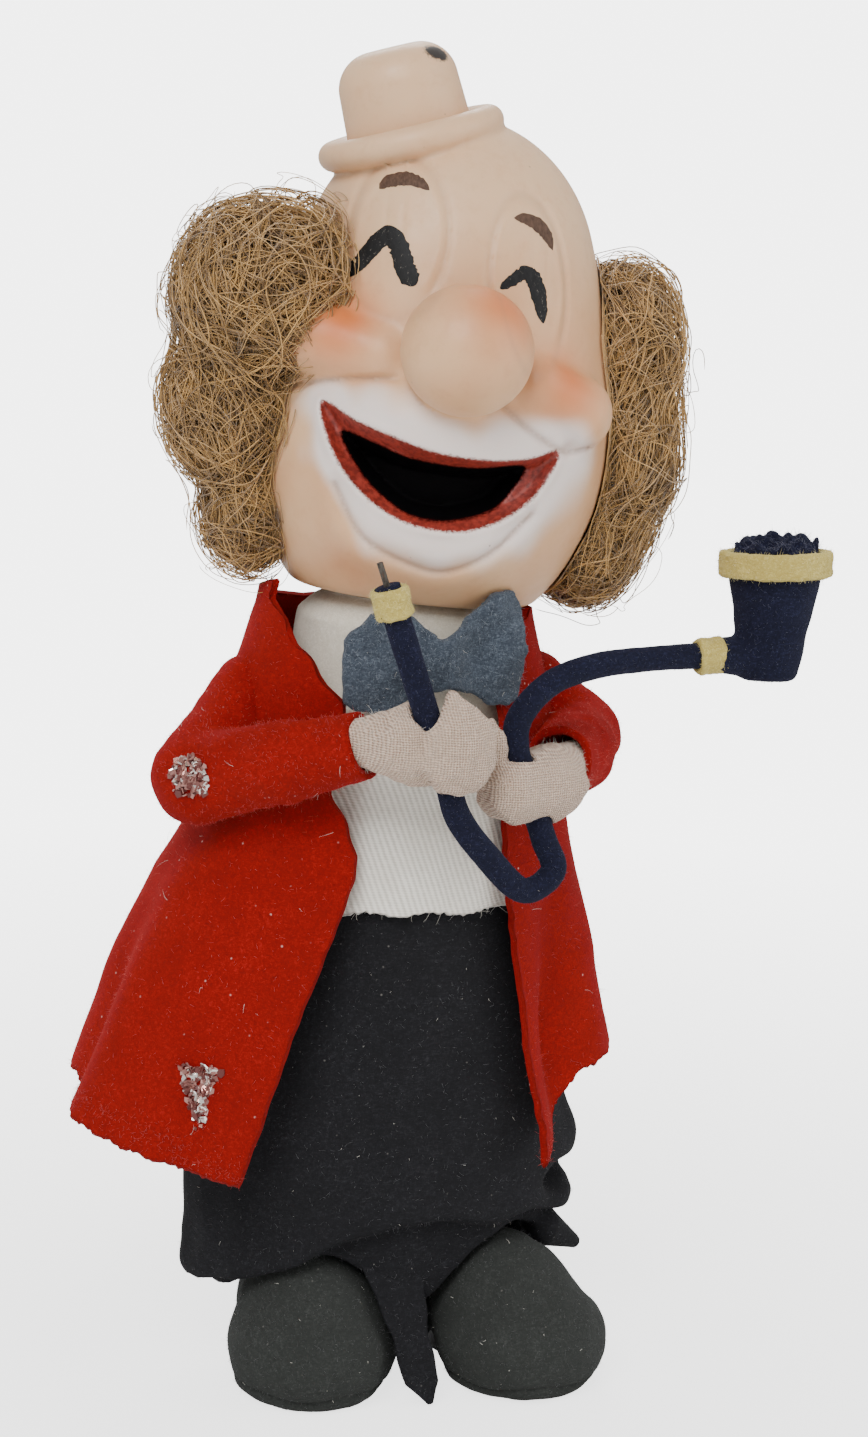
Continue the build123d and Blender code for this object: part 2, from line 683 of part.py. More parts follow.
def leg_wire(side_x):
    """A straight leg wire with a round eye at the hip and another at the ankle."""
    hip = Vector(side_x, SPINE_Y, HIP_Z)
    ankle = Vector(side_x, SPINE_Y, ANKLE_Z)
    with BuildPart() as wire:
        add(rod_run([hip, ankle], LIMB_WIRE_RADIUS))
        with BuildSketch(Plane.YZ.offset(side_x)):
            with Locations((SPINE_Y, HIP_Z)):
                Circle(EYE_RADIUS)
            with Locations((SPINE_Y, ANKLE_Z)):
                Circle(EYE_RADIUS)
        extrude(amount=EYE_LENGTH / 2, both=True)
        with BuildSketch(Plane.YZ.offset(side_x)):
            with Locations((SPINE_Y, HIP_Z)):
                Circle(CROSS_WIRE_RADIUS + RUNNING_GAP)
            with Locations((SPINE_Y, ANKLE_Z)):
                Circle(PIN_RADIUS + RUNNING_GAP)
        extrude(amount=EYE_LENGTH, both=True, mode=Mode.SUBTRACT)
    return wire


def leg_padding(side_x):
    """The stuffed cloth leg round the wire, between the hip wire and the shoe."""
    with BuildPart() as padding:
        with BuildSketch(Plane.XY.offset(20)):
            with Locations((side_x, SPINE_Y)):
                Circle(8)
                Circle(LIMB_WIRE_RADIUS + GLUE_GAP, mode=Mode.SUBTRACT)
        extrude(amount=17)
    return padding


def ankle_pin(side_x):
    """The pin through the shoe that the ankle eye turns on."""
    with BuildPart() as pin:
        with BuildSketch(Plane.YZ.offset(side_x)):
            with Locations((SPINE_Y, ANKLE_Z)):
                Circle(PIN_RADIUS)
        extrude(amount=5, both=True)
    return pin


def shoe_outline(plane, heel, toe, inset):
    """A rounded shoe print: the hull of a heel circle and a larger toe circle."""
    with BuildSketch(plane, mode=Mode.PRIVATE) as outline:
        with Locations(heel):
            Circle(HEEL_RADIUS - inset)
        with Locations(toe):
            Circle(TOE_RADIUS - inset)
        make_hull()
    return outline.sketch


def weight_centre(heel, toe):
    """Midway between the heel and toe circles."""
    return ((heel[0] + toe[0]) / 2, (heel[1] + toe[1]) / 2)


def shoe_body(side_x, heel, toe):
    """A stuffed shoe with a well for the ankle eye, a bore for its pin and a pocket."""
    with BuildPart() as body:
        upper_bottom_z = FLOOR_Z + SOLE_THICKNESS
        with BuildSketch(Plane.XY.offset(upper_bottom_z)):
            add(shoe_outline(Plane.XY, heel, toe, 0))
        extrude(amount=SHOE_TOP_Z - upper_bottom_z)
        fillet(body.faces().sort_by(Axis.Z)[-1].edges(), 6)
        with BuildSketch(Plane.XY.offset(ANKLE_Z - 3.5)):
            with Locations((side_x, SPINE_Y)):
                Rectangle(EYE_LENGTH + 1.2, 8)
        extrude(amount=SHOE_TOP_Z, mode=Mode.SUBTRACT)
        with BuildSketch(Plane.YZ.offset(side_x)):
            with Locations((SPINE_Y, ANKLE_Z)):
                Circle(PIN_RADIUS)
        extrude(amount=5, both=True, mode=Mode.SUBTRACT)
        with BuildSketch(Plane.XY.offset(WEIGHT_Z)):
            with Locations(weight_centre(heel, toe)):
                Circle(WEIGHT_RADIUS)
        extrude(amount=WEIGHT_THICKNESS, mode=Mode.SUBTRACT)
    return body


def shoe_weight(heel, toe):
    """The steel disc that fills a pocket inside the shoe, just above the sole."""
    with BuildPart() as weight:
        with BuildSketch(Plane.XY.offset(WEIGHT_Z + GLUE_GAP)):
            with Locations(weight_centre(heel, toe)):
                Circle(WEIGHT_RADIUS - GLUE_GAP)
        extrude(amount=WEIGHT_THICKNESS - 2 * GLUE_GAP)
    return weight


def shoe_sole(heel, toe):
    """The flat sole under a shoe, a little smaller than the upper."""
    with BuildPart() as sole:
        with BuildSketch(Plane.XY.offset(FLOOR_Z)):
            add(shoe_outline(Plane.XY, heel, toe, 0.6))
        extrude(amount=SOLE_THICKNESS)
    return sole


sides = {
    "right": (-HIP_SPREAD, (-13.2, 2.5), (-15.5, -14)),
    "left": (HIP_SPREAD, (13.2, 2.5), (20.8, -18.3)),
}
for side, (side_x, heel, toe) in sides.items():
    save(leg_wire(side_x), f"{side}_leg_wire")
    save(leg_padding(side_x), f"{side}_leg_padding")
    save(ankle_pin(side_x), f"{side}_ankle_pin")
    save(shoe_body(side_x, heel, toe), f"{side}_shoe")
    save(shoe_weight(heel, toe), f"{side}_shoe_weight")
    save(shoe_sole(heel, toe), f"{side}_sole")
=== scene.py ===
import json
import math

import bpy
import numpy as np
from mathutils import Matrix, Vector
from mathutils.bvhtree import BVHTree


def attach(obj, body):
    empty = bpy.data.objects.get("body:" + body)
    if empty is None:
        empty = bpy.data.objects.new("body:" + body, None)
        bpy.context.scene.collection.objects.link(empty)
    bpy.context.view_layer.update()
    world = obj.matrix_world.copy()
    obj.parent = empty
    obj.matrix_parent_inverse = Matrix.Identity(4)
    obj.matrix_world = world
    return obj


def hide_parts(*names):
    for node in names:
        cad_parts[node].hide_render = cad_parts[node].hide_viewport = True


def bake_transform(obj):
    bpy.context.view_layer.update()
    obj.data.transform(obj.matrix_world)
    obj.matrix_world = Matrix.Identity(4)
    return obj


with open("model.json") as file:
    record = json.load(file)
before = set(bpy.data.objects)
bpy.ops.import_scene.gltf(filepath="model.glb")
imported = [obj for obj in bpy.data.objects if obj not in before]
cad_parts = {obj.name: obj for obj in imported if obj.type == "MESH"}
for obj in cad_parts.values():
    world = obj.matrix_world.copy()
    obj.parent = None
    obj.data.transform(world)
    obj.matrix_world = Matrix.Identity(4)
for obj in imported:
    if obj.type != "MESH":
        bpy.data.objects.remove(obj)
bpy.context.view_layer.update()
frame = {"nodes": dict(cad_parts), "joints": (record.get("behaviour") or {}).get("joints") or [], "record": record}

MM = 0.001
TAU = 2 * math.pi


def length(v):
    """How long each vector is."""
    return np.linalg.norm(v, axis=-1)


def unit(v):
    """Each vector at length 1."""
    return v / np.maximum(length(v), 1e-9)[..., None]


# ------------------------------------------------------------------ places from the frame

# The doll is laid out round its waist; this carries a place there to the frame's place for it
SHIFT = np.array([-5.55, 7.2, 5.0])
FLOOR_Z = -5.0

joints = {joint["name"]: joint for joint in frame["joints"]}


def joint_place(name):
    """A joint's position, in millimetres, where the doll is laid out."""
    return np.array(joints[name]["pos_m"]) / MM - SHIFT


def joint_axis(name):
    """A joint's axis as a unit vector."""
    return unit(np.array(joints[name]["axis"], float))


class Local:
    """A right-handed local frame in millimetres: x to the side, y backwards, z up."""

    def __init__(self, origin, x_axis, z_axis):
        self.origin = np.array(origin, float)
        z_axis = unit(np.array(z_axis, float))
        x_axis = unit(np.array(x_axis, float) - np.dot(x_axis, z_axis) * z_axis)
        self.axes = np.stack([x_axis, np.cross(z_axis, x_axis), z_axis])

    def inward(self, points):
        return (np.asarray(points, float) - self.origin) @ self.axes.T

    def outward(self, points):
        return np.asarray(points, float) @ self.axes + self.origin


# The head's own frame, on its neck ring
head = Local(joint_place("head_turn"), -joint_axis("head_nod"), joint_axis("head_turn"))


# ------------------------------------------------------------------ fields and their meshes

def egg(p, centre, radii):
    """Distance, roughly, to an ellipsoid."""
    radii = np.array(radii, float)
    q = (p - np.array(centre, float)) / radii
    near = length(q)
    return near * (near - 1) / np.maximum(length(q / radii), 1e-9)


def bean(p, start, end, radius, end_radius=None):
    """Distance to a round rod between two points, which may taper."""
    start, end = np.array(start, float), np.array(end, float)
    along = end - start
    t = np.clip((p - start) @ along / max(along @ along, 1e-9), 0, 1)
    size = radius if end_radius is None else radius + (end_radius - radius) * t
    return length(p - start - t[..., None] * along) - size


def join(a, b, softness):
    """Both solids, with a soft fillet between them."""
    mix = np.clip(0.5 + 0.5 * (b - a) / softness, 0, 1)
    return b + (a - b) * mix - softness * mix * (1 - mix)


def cut(a, b, softness):
    """Solid a less solid b, with a softened edge."""
    return -join(-a, b, softness)


def bump(distance, width):
    """A smooth bell: 1 at no distance, falling off over the width."""
    return np.exp(-((distance / width) ** 2))


def fade(value, start, end):
    """0 before start, 1 after end, smooth between them."""
    t = np.clip((value - start) / (end - start), 0, 1)
    return t * t * (3 - 2 * t)


WAVE_COUNT = 9
# The part of all the waves' heights that they rarely add up past
WAVE_CREST = 0.55


class Ripple:
    """Seeded smooth noise: a sum of sine waves of about one wavelength, from -1 to 1."""

    def __init__(self, seed, wavelength, dims=3):
        rng = np.random.default_rng(seed)
        aim = rng.normal(size=(WAVE_COUNT, dims))
        self.waves = unit(aim) * (TAU / wavelength) * rng.uniform(0.7, 1.4, (WAVE_COUNT, 1))
        self.phase = rng.uniform(0, TAU, WAVE_COUNT)

    def __call__(self, p):
        return np.sin(np.asarray(p) @ self.waves.T + self.phase).sum(-1) / (WAVE_COUNT * WAVE_CREST)


def surface_net(field, low, high, step):
    """Points and quads on the zero level of a field, sampled on a grid with that step."""
    axes = [np.arange(a - 2 * step, b + 2.5 * step, step) for a, b in zip(low, high)]
    grid = np.stack(np.meshgrid(*axes, indexing="ij"), -1)
    value = field(grid.reshape(-1, 3)).reshape(grid.shape[:3])
    cells = tuple(n - 1 for n in value.shape)
    total, count = np.zeros(cells + (3,)), np.zeros(cells)

    def corner(array, offset):
        return array[tuple(slice(o, o + n) for o, n in zip(offset, cells))]

    for axis in range(3):
        others = [a for a in range(3) if a != axis]
        for pair in ((0, 0), (0, 1), (1, 0), (1, 1)):
            near = [0, 0, 0]
            near[others[0]], near[others[1]] = pair
            far = list(near)
            far[axis] = 1
            a, b = corner(value, near), corner(value, far)
            crossed = (a < 0) != (b < 0)
            t = np.where(crossed, a / np.where(crossed, a - b, 1), 0)
            point = corner(grid, near).copy()
            point[..., axis] += t * step
            total += point * crossed[..., None]
            count += crossed
    used = count > 0
    index = np.full(cells, -1)
    index[used] = np.arange(used.sum())
    points = total[used] / count[used][:, None]
    quads = []
    for axis in range(3):
        a, b = [x for x in range(3) if x != axis]
        start = [slice(1, n - 1) for n in value.shape]
        start[axis] = slice(0, value.shape[axis] - 1)
        end = list(start)
        end[axis] = slice(1, value.shape[axis])
        low_side, high_side = value[tuple(start)] < 0, value[tuple(end)] < 0
        where = np.argwhere(low_side != high_side)
        flip = high_side[tuple(where.T)]
        base = where + np.array([0 if x == axis else 1 for x in range(3)])
        ring = []
        for da, db in ((-1, -1), (0, -1), (0, 0), (-1, 0)):
            cell = base.copy()
            cell[:, a] += da
            cell[:, b] += db
            ring.append(index[tuple(cell.T)])
        ring = np.stack(ring, 1)
        turned = flip if axis != 1 else ~flip
        quads.append(np.where(turned[:, None], ring[:, ::-1], ring))
    return points, np.concatenate(quads)


def split_quads(points, quads):
    """Each quad becomes four."""
    edges = np.stack([quads, np.roll(quads, -1, 1)], -1).reshape(-1, 2)
    pairs, spot = np.unique(np.sort(edges, 1), axis=0, return_inverse=True)
    spot = spot.reshape(-1, 4) + len(points)
    middles = points[quads].mean(1)
    centre = np.arange(len(quads)) + len(points) + len(pairs)
    points = np.concatenate([points, points[pairs].mean(1), middles])
    quads = [np.stack([quads[:, i], spot[:, i], centre, spot[:, i - 1]], 1) for i in range(4)]
    return points, np.concatenate(quads)


GRADIENT_STEP = 0.05


def gradient(field, p):
    """The field's slope at each point, by central differences."""
    slope = np.empty_like(p)
    for axis in range(3):
        shift = np.zeros(3)
        shift[axis] = GRADIENT_STEP
        slope[:, axis] = (field(p + shift) - field(p - shift)) / (2 * GRADIENT_STEP)
    return slope


def settle(field, p, rounds=3, level=0.0):
    """Moves points onto the field's surface."""
    for _ in range(rounds):
        slope = gradient(field, p)
        steep = np.maximum((slope**2).sum(1), 0.05)
        p = p - slope * ((field(p) - level) / steep)[:, None] * 0.9
    return p


def field_mesh(field, low, high, step, splits=1):
    """A quad mesh on a field's surface, in the field's own frame."""
    points, quads = surface_net(field, low, high, step)
    for _ in range(splits):
        points, quads = split_quads(settle(field, points, 1), quads)
    return settle(field, points), quads


# ------------------------------------------------------------------ objects

def mesh_object(name, points_mm, faces, material, smooth=True):
    """A mesh object from points in millimetres where the doll is laid out."""
    mesh = bpy.data.meshes.new(name)
    mesh.from_pydata(((np.asarray(points_mm) + SHIFT) * MM).tolist(), [], [list(map(int, f)) for f in faces])
    mesh.update()
    if smooth:
        mesh.polygons.foreach_set("use_smooth", [True] * len(mesh.polygons))
    mesh.materials.append(material)
    obj = bpy.data.objects.new(name, mesh)
    bpy.context.scene.collection.objects.link(obj)
    return obj


def field_object(name, material, field, low, high, step):
    """A mesh object on the surface of a field given where the doll is laid out."""
    return mesh_object(name, *field_mesh(field, low, high, step), material)


def dress(obj, body, slot, *nodes):
    """Puts a finished piece on its body, with the CAD nodes it stands for hidden; the slot is not used."""
    if body:
        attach(obj, body)
    if nodes:
        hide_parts(*nodes)
    return obj


def store(obj, name, values):
    """Keeps one number per point on the mesh, for its material to read."""
    layer = obj.data.attributes.new(name, "FLOAT", "POINT")
    layer.data.foreach_set("value", np.asarray(values, np.float32))


FIBRE_SIDES = 3


def tubes(paths, radii, sides=FIBRE_SIDES):
    """Thin tubes along many paths of the same length: points and faces. paths is (n, m, 3)."""
    count, steps = paths.shape[:2]
    along = unit(np.gradient(paths, axis=1))
    side = unit(np.cross(along, np.array([0.31, 0.57, 0.76])))
    up = np.cross(along, side)
    angle = np.arange(sides) * TAU / sides
    ring = side[:, :, None] * np.cos(angle)[:, None] + up[:, :, None] * np.sin(angle)[:, None]
    points = paths[:, :, None] + ring * np.asarray(radii)[..., None, None]
    i = np.arange(count)[:, None, None] * steps * sides
    j = np.arange(steps - 1)[:, None] * sides
    k = np.arange(sides)
    a = i + j + k
    b = i + j + (k + 1) % sides
    faces = np.stack([a, b, b + sides, a + sides], -1).reshape(-1, 4)
    return points.reshape(-1, 3), faces


def smooth_line(points, per_span=8, closed=False):
    """A Catmull-Rom curve through the points."""
    p = np.array(points, float)
    if closed:
        ring = np.concatenate([p[-1:], p, p[:2]])
    else:
        ring = np.concatenate([2 * p[:1] - p[1:2], p, 2 * p[-1:] - p[-2:-1]])
    t = np.linspace(0, 1, per_span, endpoint=False)[:, None]
    pieces = []
    for a, b, c, d in zip(ring, ring[1:], ring[2:], ring[3:]):
        curve = 2 * b + (c - a) * t + (2 * a - 5 * b + 4 * c - d) * t**2 + (3 * b - a - 3 * c + d) * t**3
        pieces.append(0.5 * curve)
    if not closed:
        pieces.append(p[-1:])
    return np.concatenate(pieces)


def line_distance(q, line):
    """Distance from each point to a polyline, in two or three dimensions."""
    a, b = line[:-1], line[1:]
    span = b - a
    best = np.full(len(q), 1e9)
    for start, reach in zip(a, span):
        t = np.clip((q - start) @ reach / max(reach @ reach, 1e-9), 0, 1)
        best = np.minimum(best, length(q - start - t[:, None] * reach))
    return best


def inside_loop(q, loop):
    """Is each 2-D point inside the closed loop?"""
    a, b = loop, np.roll(loop, -1, 0)
    inside = np.zeros(len(q), bool)
    for (x1, y1), (x2, y2) in zip(a, b):
        spans = (y1 > q[:, 1]) != (y2 > q[:, 1])
        if y1 != y2:
            inside ^= spans & (q[:, 0] < (x2 - x1) * (q[:, 1] - y1) / (y2 - y1) + x1)
    return inside


def loop_distance(q, loop):
    """Distance to a closed loop, negative inside it."""
    far = line_distance(q, np.concatenate([loop, loop[:1]]))
    return np.where(inside_loop(q, loop), -far, far)


# ------------------------------------------------------------------ materials

def srgb(red, green, blue):
    """A linear RGBA colour from 0-255 screen values."""
    def linear(c):
        c = c / 255
        return c / 12.92 if c <= 0.04045 else ((c + 0.055) / 1.055) ** 2.4
    return (linear(red), linear(green), linear(blue), 1)


class Nodes:
    """A short way to build one material's node tree."""

    def __init__(self, name):
        self.material = bpy.data.materials.new(name)
        self.material.use_nodes = True
        self.tree = self.material.node_tree
        self.shader = self.tree.nodes["Principled BSDF"]
        coordinates = self.tree.nodes.new("ShaderNodeTexCoord")
        self.place = self.math_vector(coordinates.outputs["Object"], (1 / MM,) * 3)

    def new(self, kind, **values):
        """A node with its settings and inputs, named in lower case."""
        node = self.tree.nodes.new("ShaderNode" + kind)
        for key, value in values.items():
            if hasattr(node, key):
                setattr(node, key, value)
            else:
                self.feed(node.inputs[key.replace("_", " ").title()], value)
        return node

    def feed(self, socket, value):
        """Gives an input a fixed value, or another node's output."""
        if isinstance(value, bpy.types.NodeSocket):
            self.tree.links.new(value, socket)
        else:
            socket.default_value = value

    def set(self, name, value):
        self.feed(self.shader.inputs[name], value)

    def look(self, colour, rough, **more):
        """Sets the colour, the roughness and any further inputs, and gives the finished material."""
        for name, value in {"base_color": colour, "roughness": rough, **more}.items():
            self.set("Specular IOR Level" if name == "specular" else name.replace("_", " ").title(), value)
        return self.material

    def math_vector(self, vector, factor):
        node = self.tree.nodes.new("ShaderNodeVectorMath")
        node.operation = "MULTIPLY"
        self.feed(node.inputs[0], vector)
        node.inputs[1].default_value = factor
        return node.outputs[0]

    def waves(self, direction, scale, distortion, detail_scale=1.0, place=None):
        """Even bands of threads across that direction."""
        node = self.new("TexWave", bands_direction=direction, scale=scale, distortion=distortion)
        node.inputs["Detail Scale"].default_value = detail_scale
        self.feed(node.inputs["Vector"], place or self.place)
        return node.outputs["Fac"]

    def math(self, operation, a, b=0.0):
        node = self.tree.nodes.new("ShaderNodeMath")
        node.operation = operation
        self.feed(node.inputs[0], a)
        self.feed(node.inputs[1], b)
        return node.outputs[0]

    def add(self, a, b):
        return self.math("ADD", a, b)

    def times(self, a, b):
        return self.math("MULTIPLY", a, b)

    def noise(self, scale, detail=3.0, rough=0.6, stretch=None, distortion=0.0):
        """Noise with that many features per millimetre."""
        where = self.math_vector(self.place, stretch) if stretch else self.place
        node = self.new("TexNoise", scale=scale, detail=detail, roughness=rough)
        node.inputs["Distortion"].default_value = distortion
        self.feed(node.inputs["Vector"], where)
        return node.outputs["Fac"]

    def cells(self, scale):
        """How far each place is from the nearest of many scattered points."""
        node = self.new("TexVoronoi", scale=scale)
        self.feed(node.inputs["Vector"], self.place)
        return node.outputs["Distance"]

    def ramp(self, value, low, high, from_value=0.0, to_value=1.0):
        """The value carried from low..high to from_value..to_value, clamped."""
        node = self.tree.nodes.new("ShaderNodeMapRange")
        for socket, v in zip(node.inputs, (value, low, high, from_value, to_value)):
            self.feed(socket, v)
        return node.outputs[0]

    def mix(self, amount, a, b):
        """Colour a carried towards colour b."""
        node = self.tree.nodes.new("ShaderNodeMix")
        node.data_type = "RGBA"
        self.feed(node.inputs["Factor"], amount)
        self.feed(node.inputs[6], a)
        self.feed(node.inputs[7], b)
        return node.outputs[2]

    def read(self, name):
        """The number stored on the mesh under that name."""
        node = self.tree.nodes.new("ShaderNodeAttribute")
        node.attribute_name = name
        return node.outputs["Fac"]

    def relief(self, height, strength, distance_mm):
        """Fine bumps that follow a height."""
        node = self.tree.nodes.new("ShaderNodeBump")
        node.inputs["Strength"].default_value = strength
        node.inputs["Distance"].default_value = distance_mm * MM
        self.feed(node.inputs["Height"], height)
        self.set("Normal", node.outputs[0])

    def tangle(self, scale):
        """Crossed fine fibres: two sets of stretched noise laid over each other."""
        a = self.noise(scale, 4, 0.7, stretch=(1, 0.25, 0.6), distortion=1.2)
        b = self.noise(scale, 4, 0.7, stretch=(0.3, 1, 1.1), distortion=1.2)
        return self.add(a, b)


def felt(name, colour, shade, light, lint=0.0, lint_colour=(200, 200, 200), sheen=0.35, patch=0.12):
    """Wool felt: a matted fibre surface, cloudy colour, a soft sheen and a little lint."""
    n = Nodes(name)
    fibres = n.tangle(2.6)
    clouds = n.noise(patch, 3, 0.55)
    colour_mix = n.mix(n.ramp(fibres, 0.75, 1.3), srgb(*shade), srgb(*colour))
    colour_mix = n.mix(n.ramp(fibres, 1.05, 1.5, 0, 0.7), colour_mix, srgb(*light))
    colour_mix = n.mix(n.ramp(clouds, 0.35, 0.7, 0, 0.45), colour_mix, srgb(*shade))
    if lint:
        specks = n.cells(0.42)
        on = n.ramp(specks, 0.1, 0.04)
        on = n.times(on, n.ramp(n.noise(0.5, 2), 0.52, 0.6, 0, lint))
        colour_mix = n.mix(on, colour_mix, srgb(*lint_colour))
    n.relief(fibres, 0.55, 0.25)
    tint = srgb(*light)
    return n.look(colour_mix, 0.95, specular=0.15, sheen_weight=sheen, sheen_roughness=0.55, sheen_tint=tint)


def fibre(name, dark, light, rough=0.5):
    """Loose strands, each a little different in colour along and between them."""
    n = Nodes(name)
    tone = n.add(n.noise(0.22, 3, 0.6), n.times(n.read("strand"), 0.55))
    colour = n.mix(n.ramp(tone, 0.35, 1.05), srgb(*dark), srgb(*light))
    return n.look(colour, rough, specular=0.45, sheen_weight=0.25)


def satin_cloth():
    """White satin with a fine upright rib, crossing threads and a soft shine."""
    n = Nodes("satin")
    ribs = n.waves("DIAGONAL", 0.62, 0.35, 2.0, n.math_vector(n.place, (1.0, 0.0, 0.35)))
    threads = n.waves("Z", 0.75, 0.6)
    weave = n.add(ribs, n.times(threads, 0.5))
    weave = n.add(weave, n.noise(1.4, 2))
    colour = n.mix(n.ramp(weave, 0.5, 1.7), srgb(196, 190, 178), srgb(236, 232, 222))
    colour = n.mix(n.ramp(n.noise(0.07), 0.45, 0.7, 0, 0.35), colour, srgb(205, 196, 182))
    n.relief(weave, 0.5, 0.16)
    return n.look(colour, 0.48, sheen_weight=0.3)


def crepe_cloth():
    """Flesh-coloured crepe: fine crinkled threads both ways."""
    n = Nodes("crepe")
    weave = n.add(n.waves("Z", 0.78, 2.6, 1.6), n.waves("X", 0.72, 2.8, 1.3))
    weave = n.add(weave, n.noise(1.8, 3))
    colour = n.mix(n.ramp(weave, 0.7, 2.0), srgb(178, 140, 116), srgb(234, 208, 186))
    colour = n.mix(n.ramp(n.noise(0.16), 0.45, 0.68, 0, 0.5), colour, srgb(214, 186, 164))
    n.relief(weave, 0.9, 0.32)
    return n.look(colour, 0.85, sheen_weight=0.2)


def vinyl_skin():
    """Flesh vinyl with airbrushed blush and muzzle, painted lips and a black mouth."""
    n = Nodes("vinyl")
    speckle = n.noise(1.1, 4, 0.65)
    base = n.mix(n.ramp(n.noise(0.045, 2), 0.35, 0.65), srgb(204, 156, 114), srgb(216, 175, 134))
    # Paler towards the top of the dome: painted light from above
    base = n.mix(n.read("pale"), base, srgb(220, 186, 150))
    base = n.mix(n.ramp(n.noise(0.35, 4, 0.7), 0.5, 0.72, 0, 0.22), base, srgb(186, 134, 94))
    base = n.mix(n.read("blush"), base, srgb(204, 104, 40))
    base = n.mix(n.read("muzzle"), base, srgb(226, 215, 210))
    # Darker brown along the creases, round the nose's foot and round the eye rims: painted shade in the grooves,
    # with some dirt
    base = n.mix(n.read("crease"), base, srgb(150, 112, 88))
    dust = n.cells(0.33)
    on = n.times(n.ramp(dust, 0.075, 0.03), n.ramp(n.noise(0.3), 0.55, 0.6))
    base = n.mix(n.times(on, 0.6), base, srgb(120, 95, 76))
    grain = n.times(n.math("SUBTRACT", n.noise(2.2, 3, 0.75), 0.5), 1.3)
    lips = n.ramp(n.add(n.read("lip_edge"), grain), 0.25, -0.2)
    lip_colour = n.mix(n.ramp(speckle, 0.38, 0.62), srgb(104, 30, 22), srgb(146, 50, 38))
    base = n.mix(lips, base, lip_colour)
    hollow = n.ramp(n.add(n.read("mouth_edge"), n.times(grain, 0.6)), 0.18, -0.25)
    base = n.mix(hollow, base, srgb(7, 6, 7))
    smudge = n.ramp(n.add(n.read("smudge"), n.times(grain, 0.55)), 0.3, 0.5)
    base = n.mix(smudge, base, srgb(38, 32, 28))
    n.relief(speckle, 0.06, 0.12)
    n.set("Subsurface Weight", 0.18)
    n.set("Subsurface Radius", (1.0, 0.45, 0.3))
    n.set("Subsurface Scale", 1.4 * MM)
    rough = n.ramp(n.noise(0.5, 3), 0.3, 0.7, 0.38, 0.52)
    return n.look(base, rough, specular=n.ramp(hollow, 0.2, 0.8, 0.42, 0.02))


def brush_paint(name, dark, light, gaps=0.0):
    """Brushed-on paint with streaks, thin in places."""
    n = Nodes(name)
    streaks = n.noise(1.6, 4, 0.7, stretch=(1.6, 1, 0.6))
    colour = n.mix(n.ramp(streaks, 0.35, 0.7), srgb(*dark), srgb(*light))
    if gaps:
        worn = n.ramp(n.noise(2.4, 4, 0.8, stretch=(1, 1, 0.4)), 0.62, 0.7, 0, gaps)
        colour = n.mix(worn, colour, srgb(190, 178, 166))
    n.relief(streaks, 0.2, 0.1)
    return n.look(colour, 0.6, specular=0.25)


def glitter_paint():
    """A worn scab of glue and flakes: each flake shines its own way."""
    n = Nodes("glitter")
    tone = n.read("flake")
    colour = n.mix(n.ramp(tone, 0.15, 0.8), srgb(92, 38, 34), srgb(186, 138, 128))
    colour = n.mix(n.ramp(tone, 0.72, 0.8), colour, srgb(238, 232, 226))
    n.relief(tone, 0.9, 0.5)
    return n.look(colour, n.ramp(tone, 0.2, 0.9, 0.5, 0.12), metallic=n.ramp(tone, 0.55, 0.6, 0.1, 0.9))


def dull_wire():
    """Annealed wire: dark brown-grey with fine draw marks and a little rust."""
    n = Nodes("wire")
    marks = n.noise(2.5, 4, 0.7, stretch=(1, 1, 0.2))
    colour = n.mix(n.ramp(marks, 0.35, 0.7), srgb(52, 46, 42), srgb(104, 98, 90))
    colour = n.mix(n.ramp(n.noise(0.8), 0.6, 0.72, 0, 0.6), colour, srgb(110, 66, 42))
    n.relief(marks, 0.25, 0.08)
    return n.look(colour, n.ramp(marks, 0.3, 0.7, 0.4, 0.62), metallic=0.75)


def turned_steel():
    """A plain steel disc with faint turning marks."""
    n = Nodes("turned_steel")
    marks = n.noise(1.8, 3, 0.6, stretch=(0.4, 1, 1))
    colour = n.mix(n.ramp(marks, 0.35, 0.7), srgb(104, 104, 106), srgb(146, 146, 148))
    n.relief(marks, 0.15, 0.06)
    return n.look(colour, n.ramp(marks, 0.3, 0.7, 0.32, 0.5), metallic=0.9)


def dowel_wood():
    """Pale turned dowel with a straight grain."""
    n = Nodes("dowel_wood")
    grain = n.noise(1.1, 5, 0.65, stretch=(1, 1, 0.06), distortion=0.6)
    n.relief(grain, 0.2, 0.1)
    return n.look(n.mix(n.ramp(grain, 0.35, 0.65), srgb(150, 112, 74), srgb(208, 174, 130)), 0.7)


# How bright the backdrop and the far floor look to the camera
BACKDROP = 5.0


def floor_paper():
    """A plain pale floor that runs into the backdrop without an edge, as the camera sees it."""
    n = Nodes("floor")
    tooth = n.noise(0.05, 3)
    n.look(n.mix(n.ramp(tooth, 0.3, 0.7), srgb(246, 246, 245), srgb(249, 249, 248)), 0.9, specular=0.1)
    reach = n.tree.nodes.new("ShaderNodeVectorMath")
    reach.operation = "LENGTH"
    n.feed(reach.inputs[0], n.place)
    seen = n.tree.nodes.new("ShaderNodeLightPath")
    far_out = n.ramp(reach.outputs["Value"], 60, 420, 0.45, 1)
    amount = n.times(far_out, seen.outputs["Is Camera Ray"])
    glow = n.tree.nodes.new("ShaderNodeEmission")
    glow.inputs["Strength"].default_value = BACKDROP
    blend = n.tree.nodes.new("ShaderNodeMixShader")
    n.feed(blend.inputs[0], amount)
    n.feed(blend.inputs[1], n.shader.outputs[0])
    n.feed(blend.inputs[2], glow.outputs[0])
    n.feed(n.tree.nodes["Material Output"].inputs["Surface"], blend.outputs[0])
    return n.material


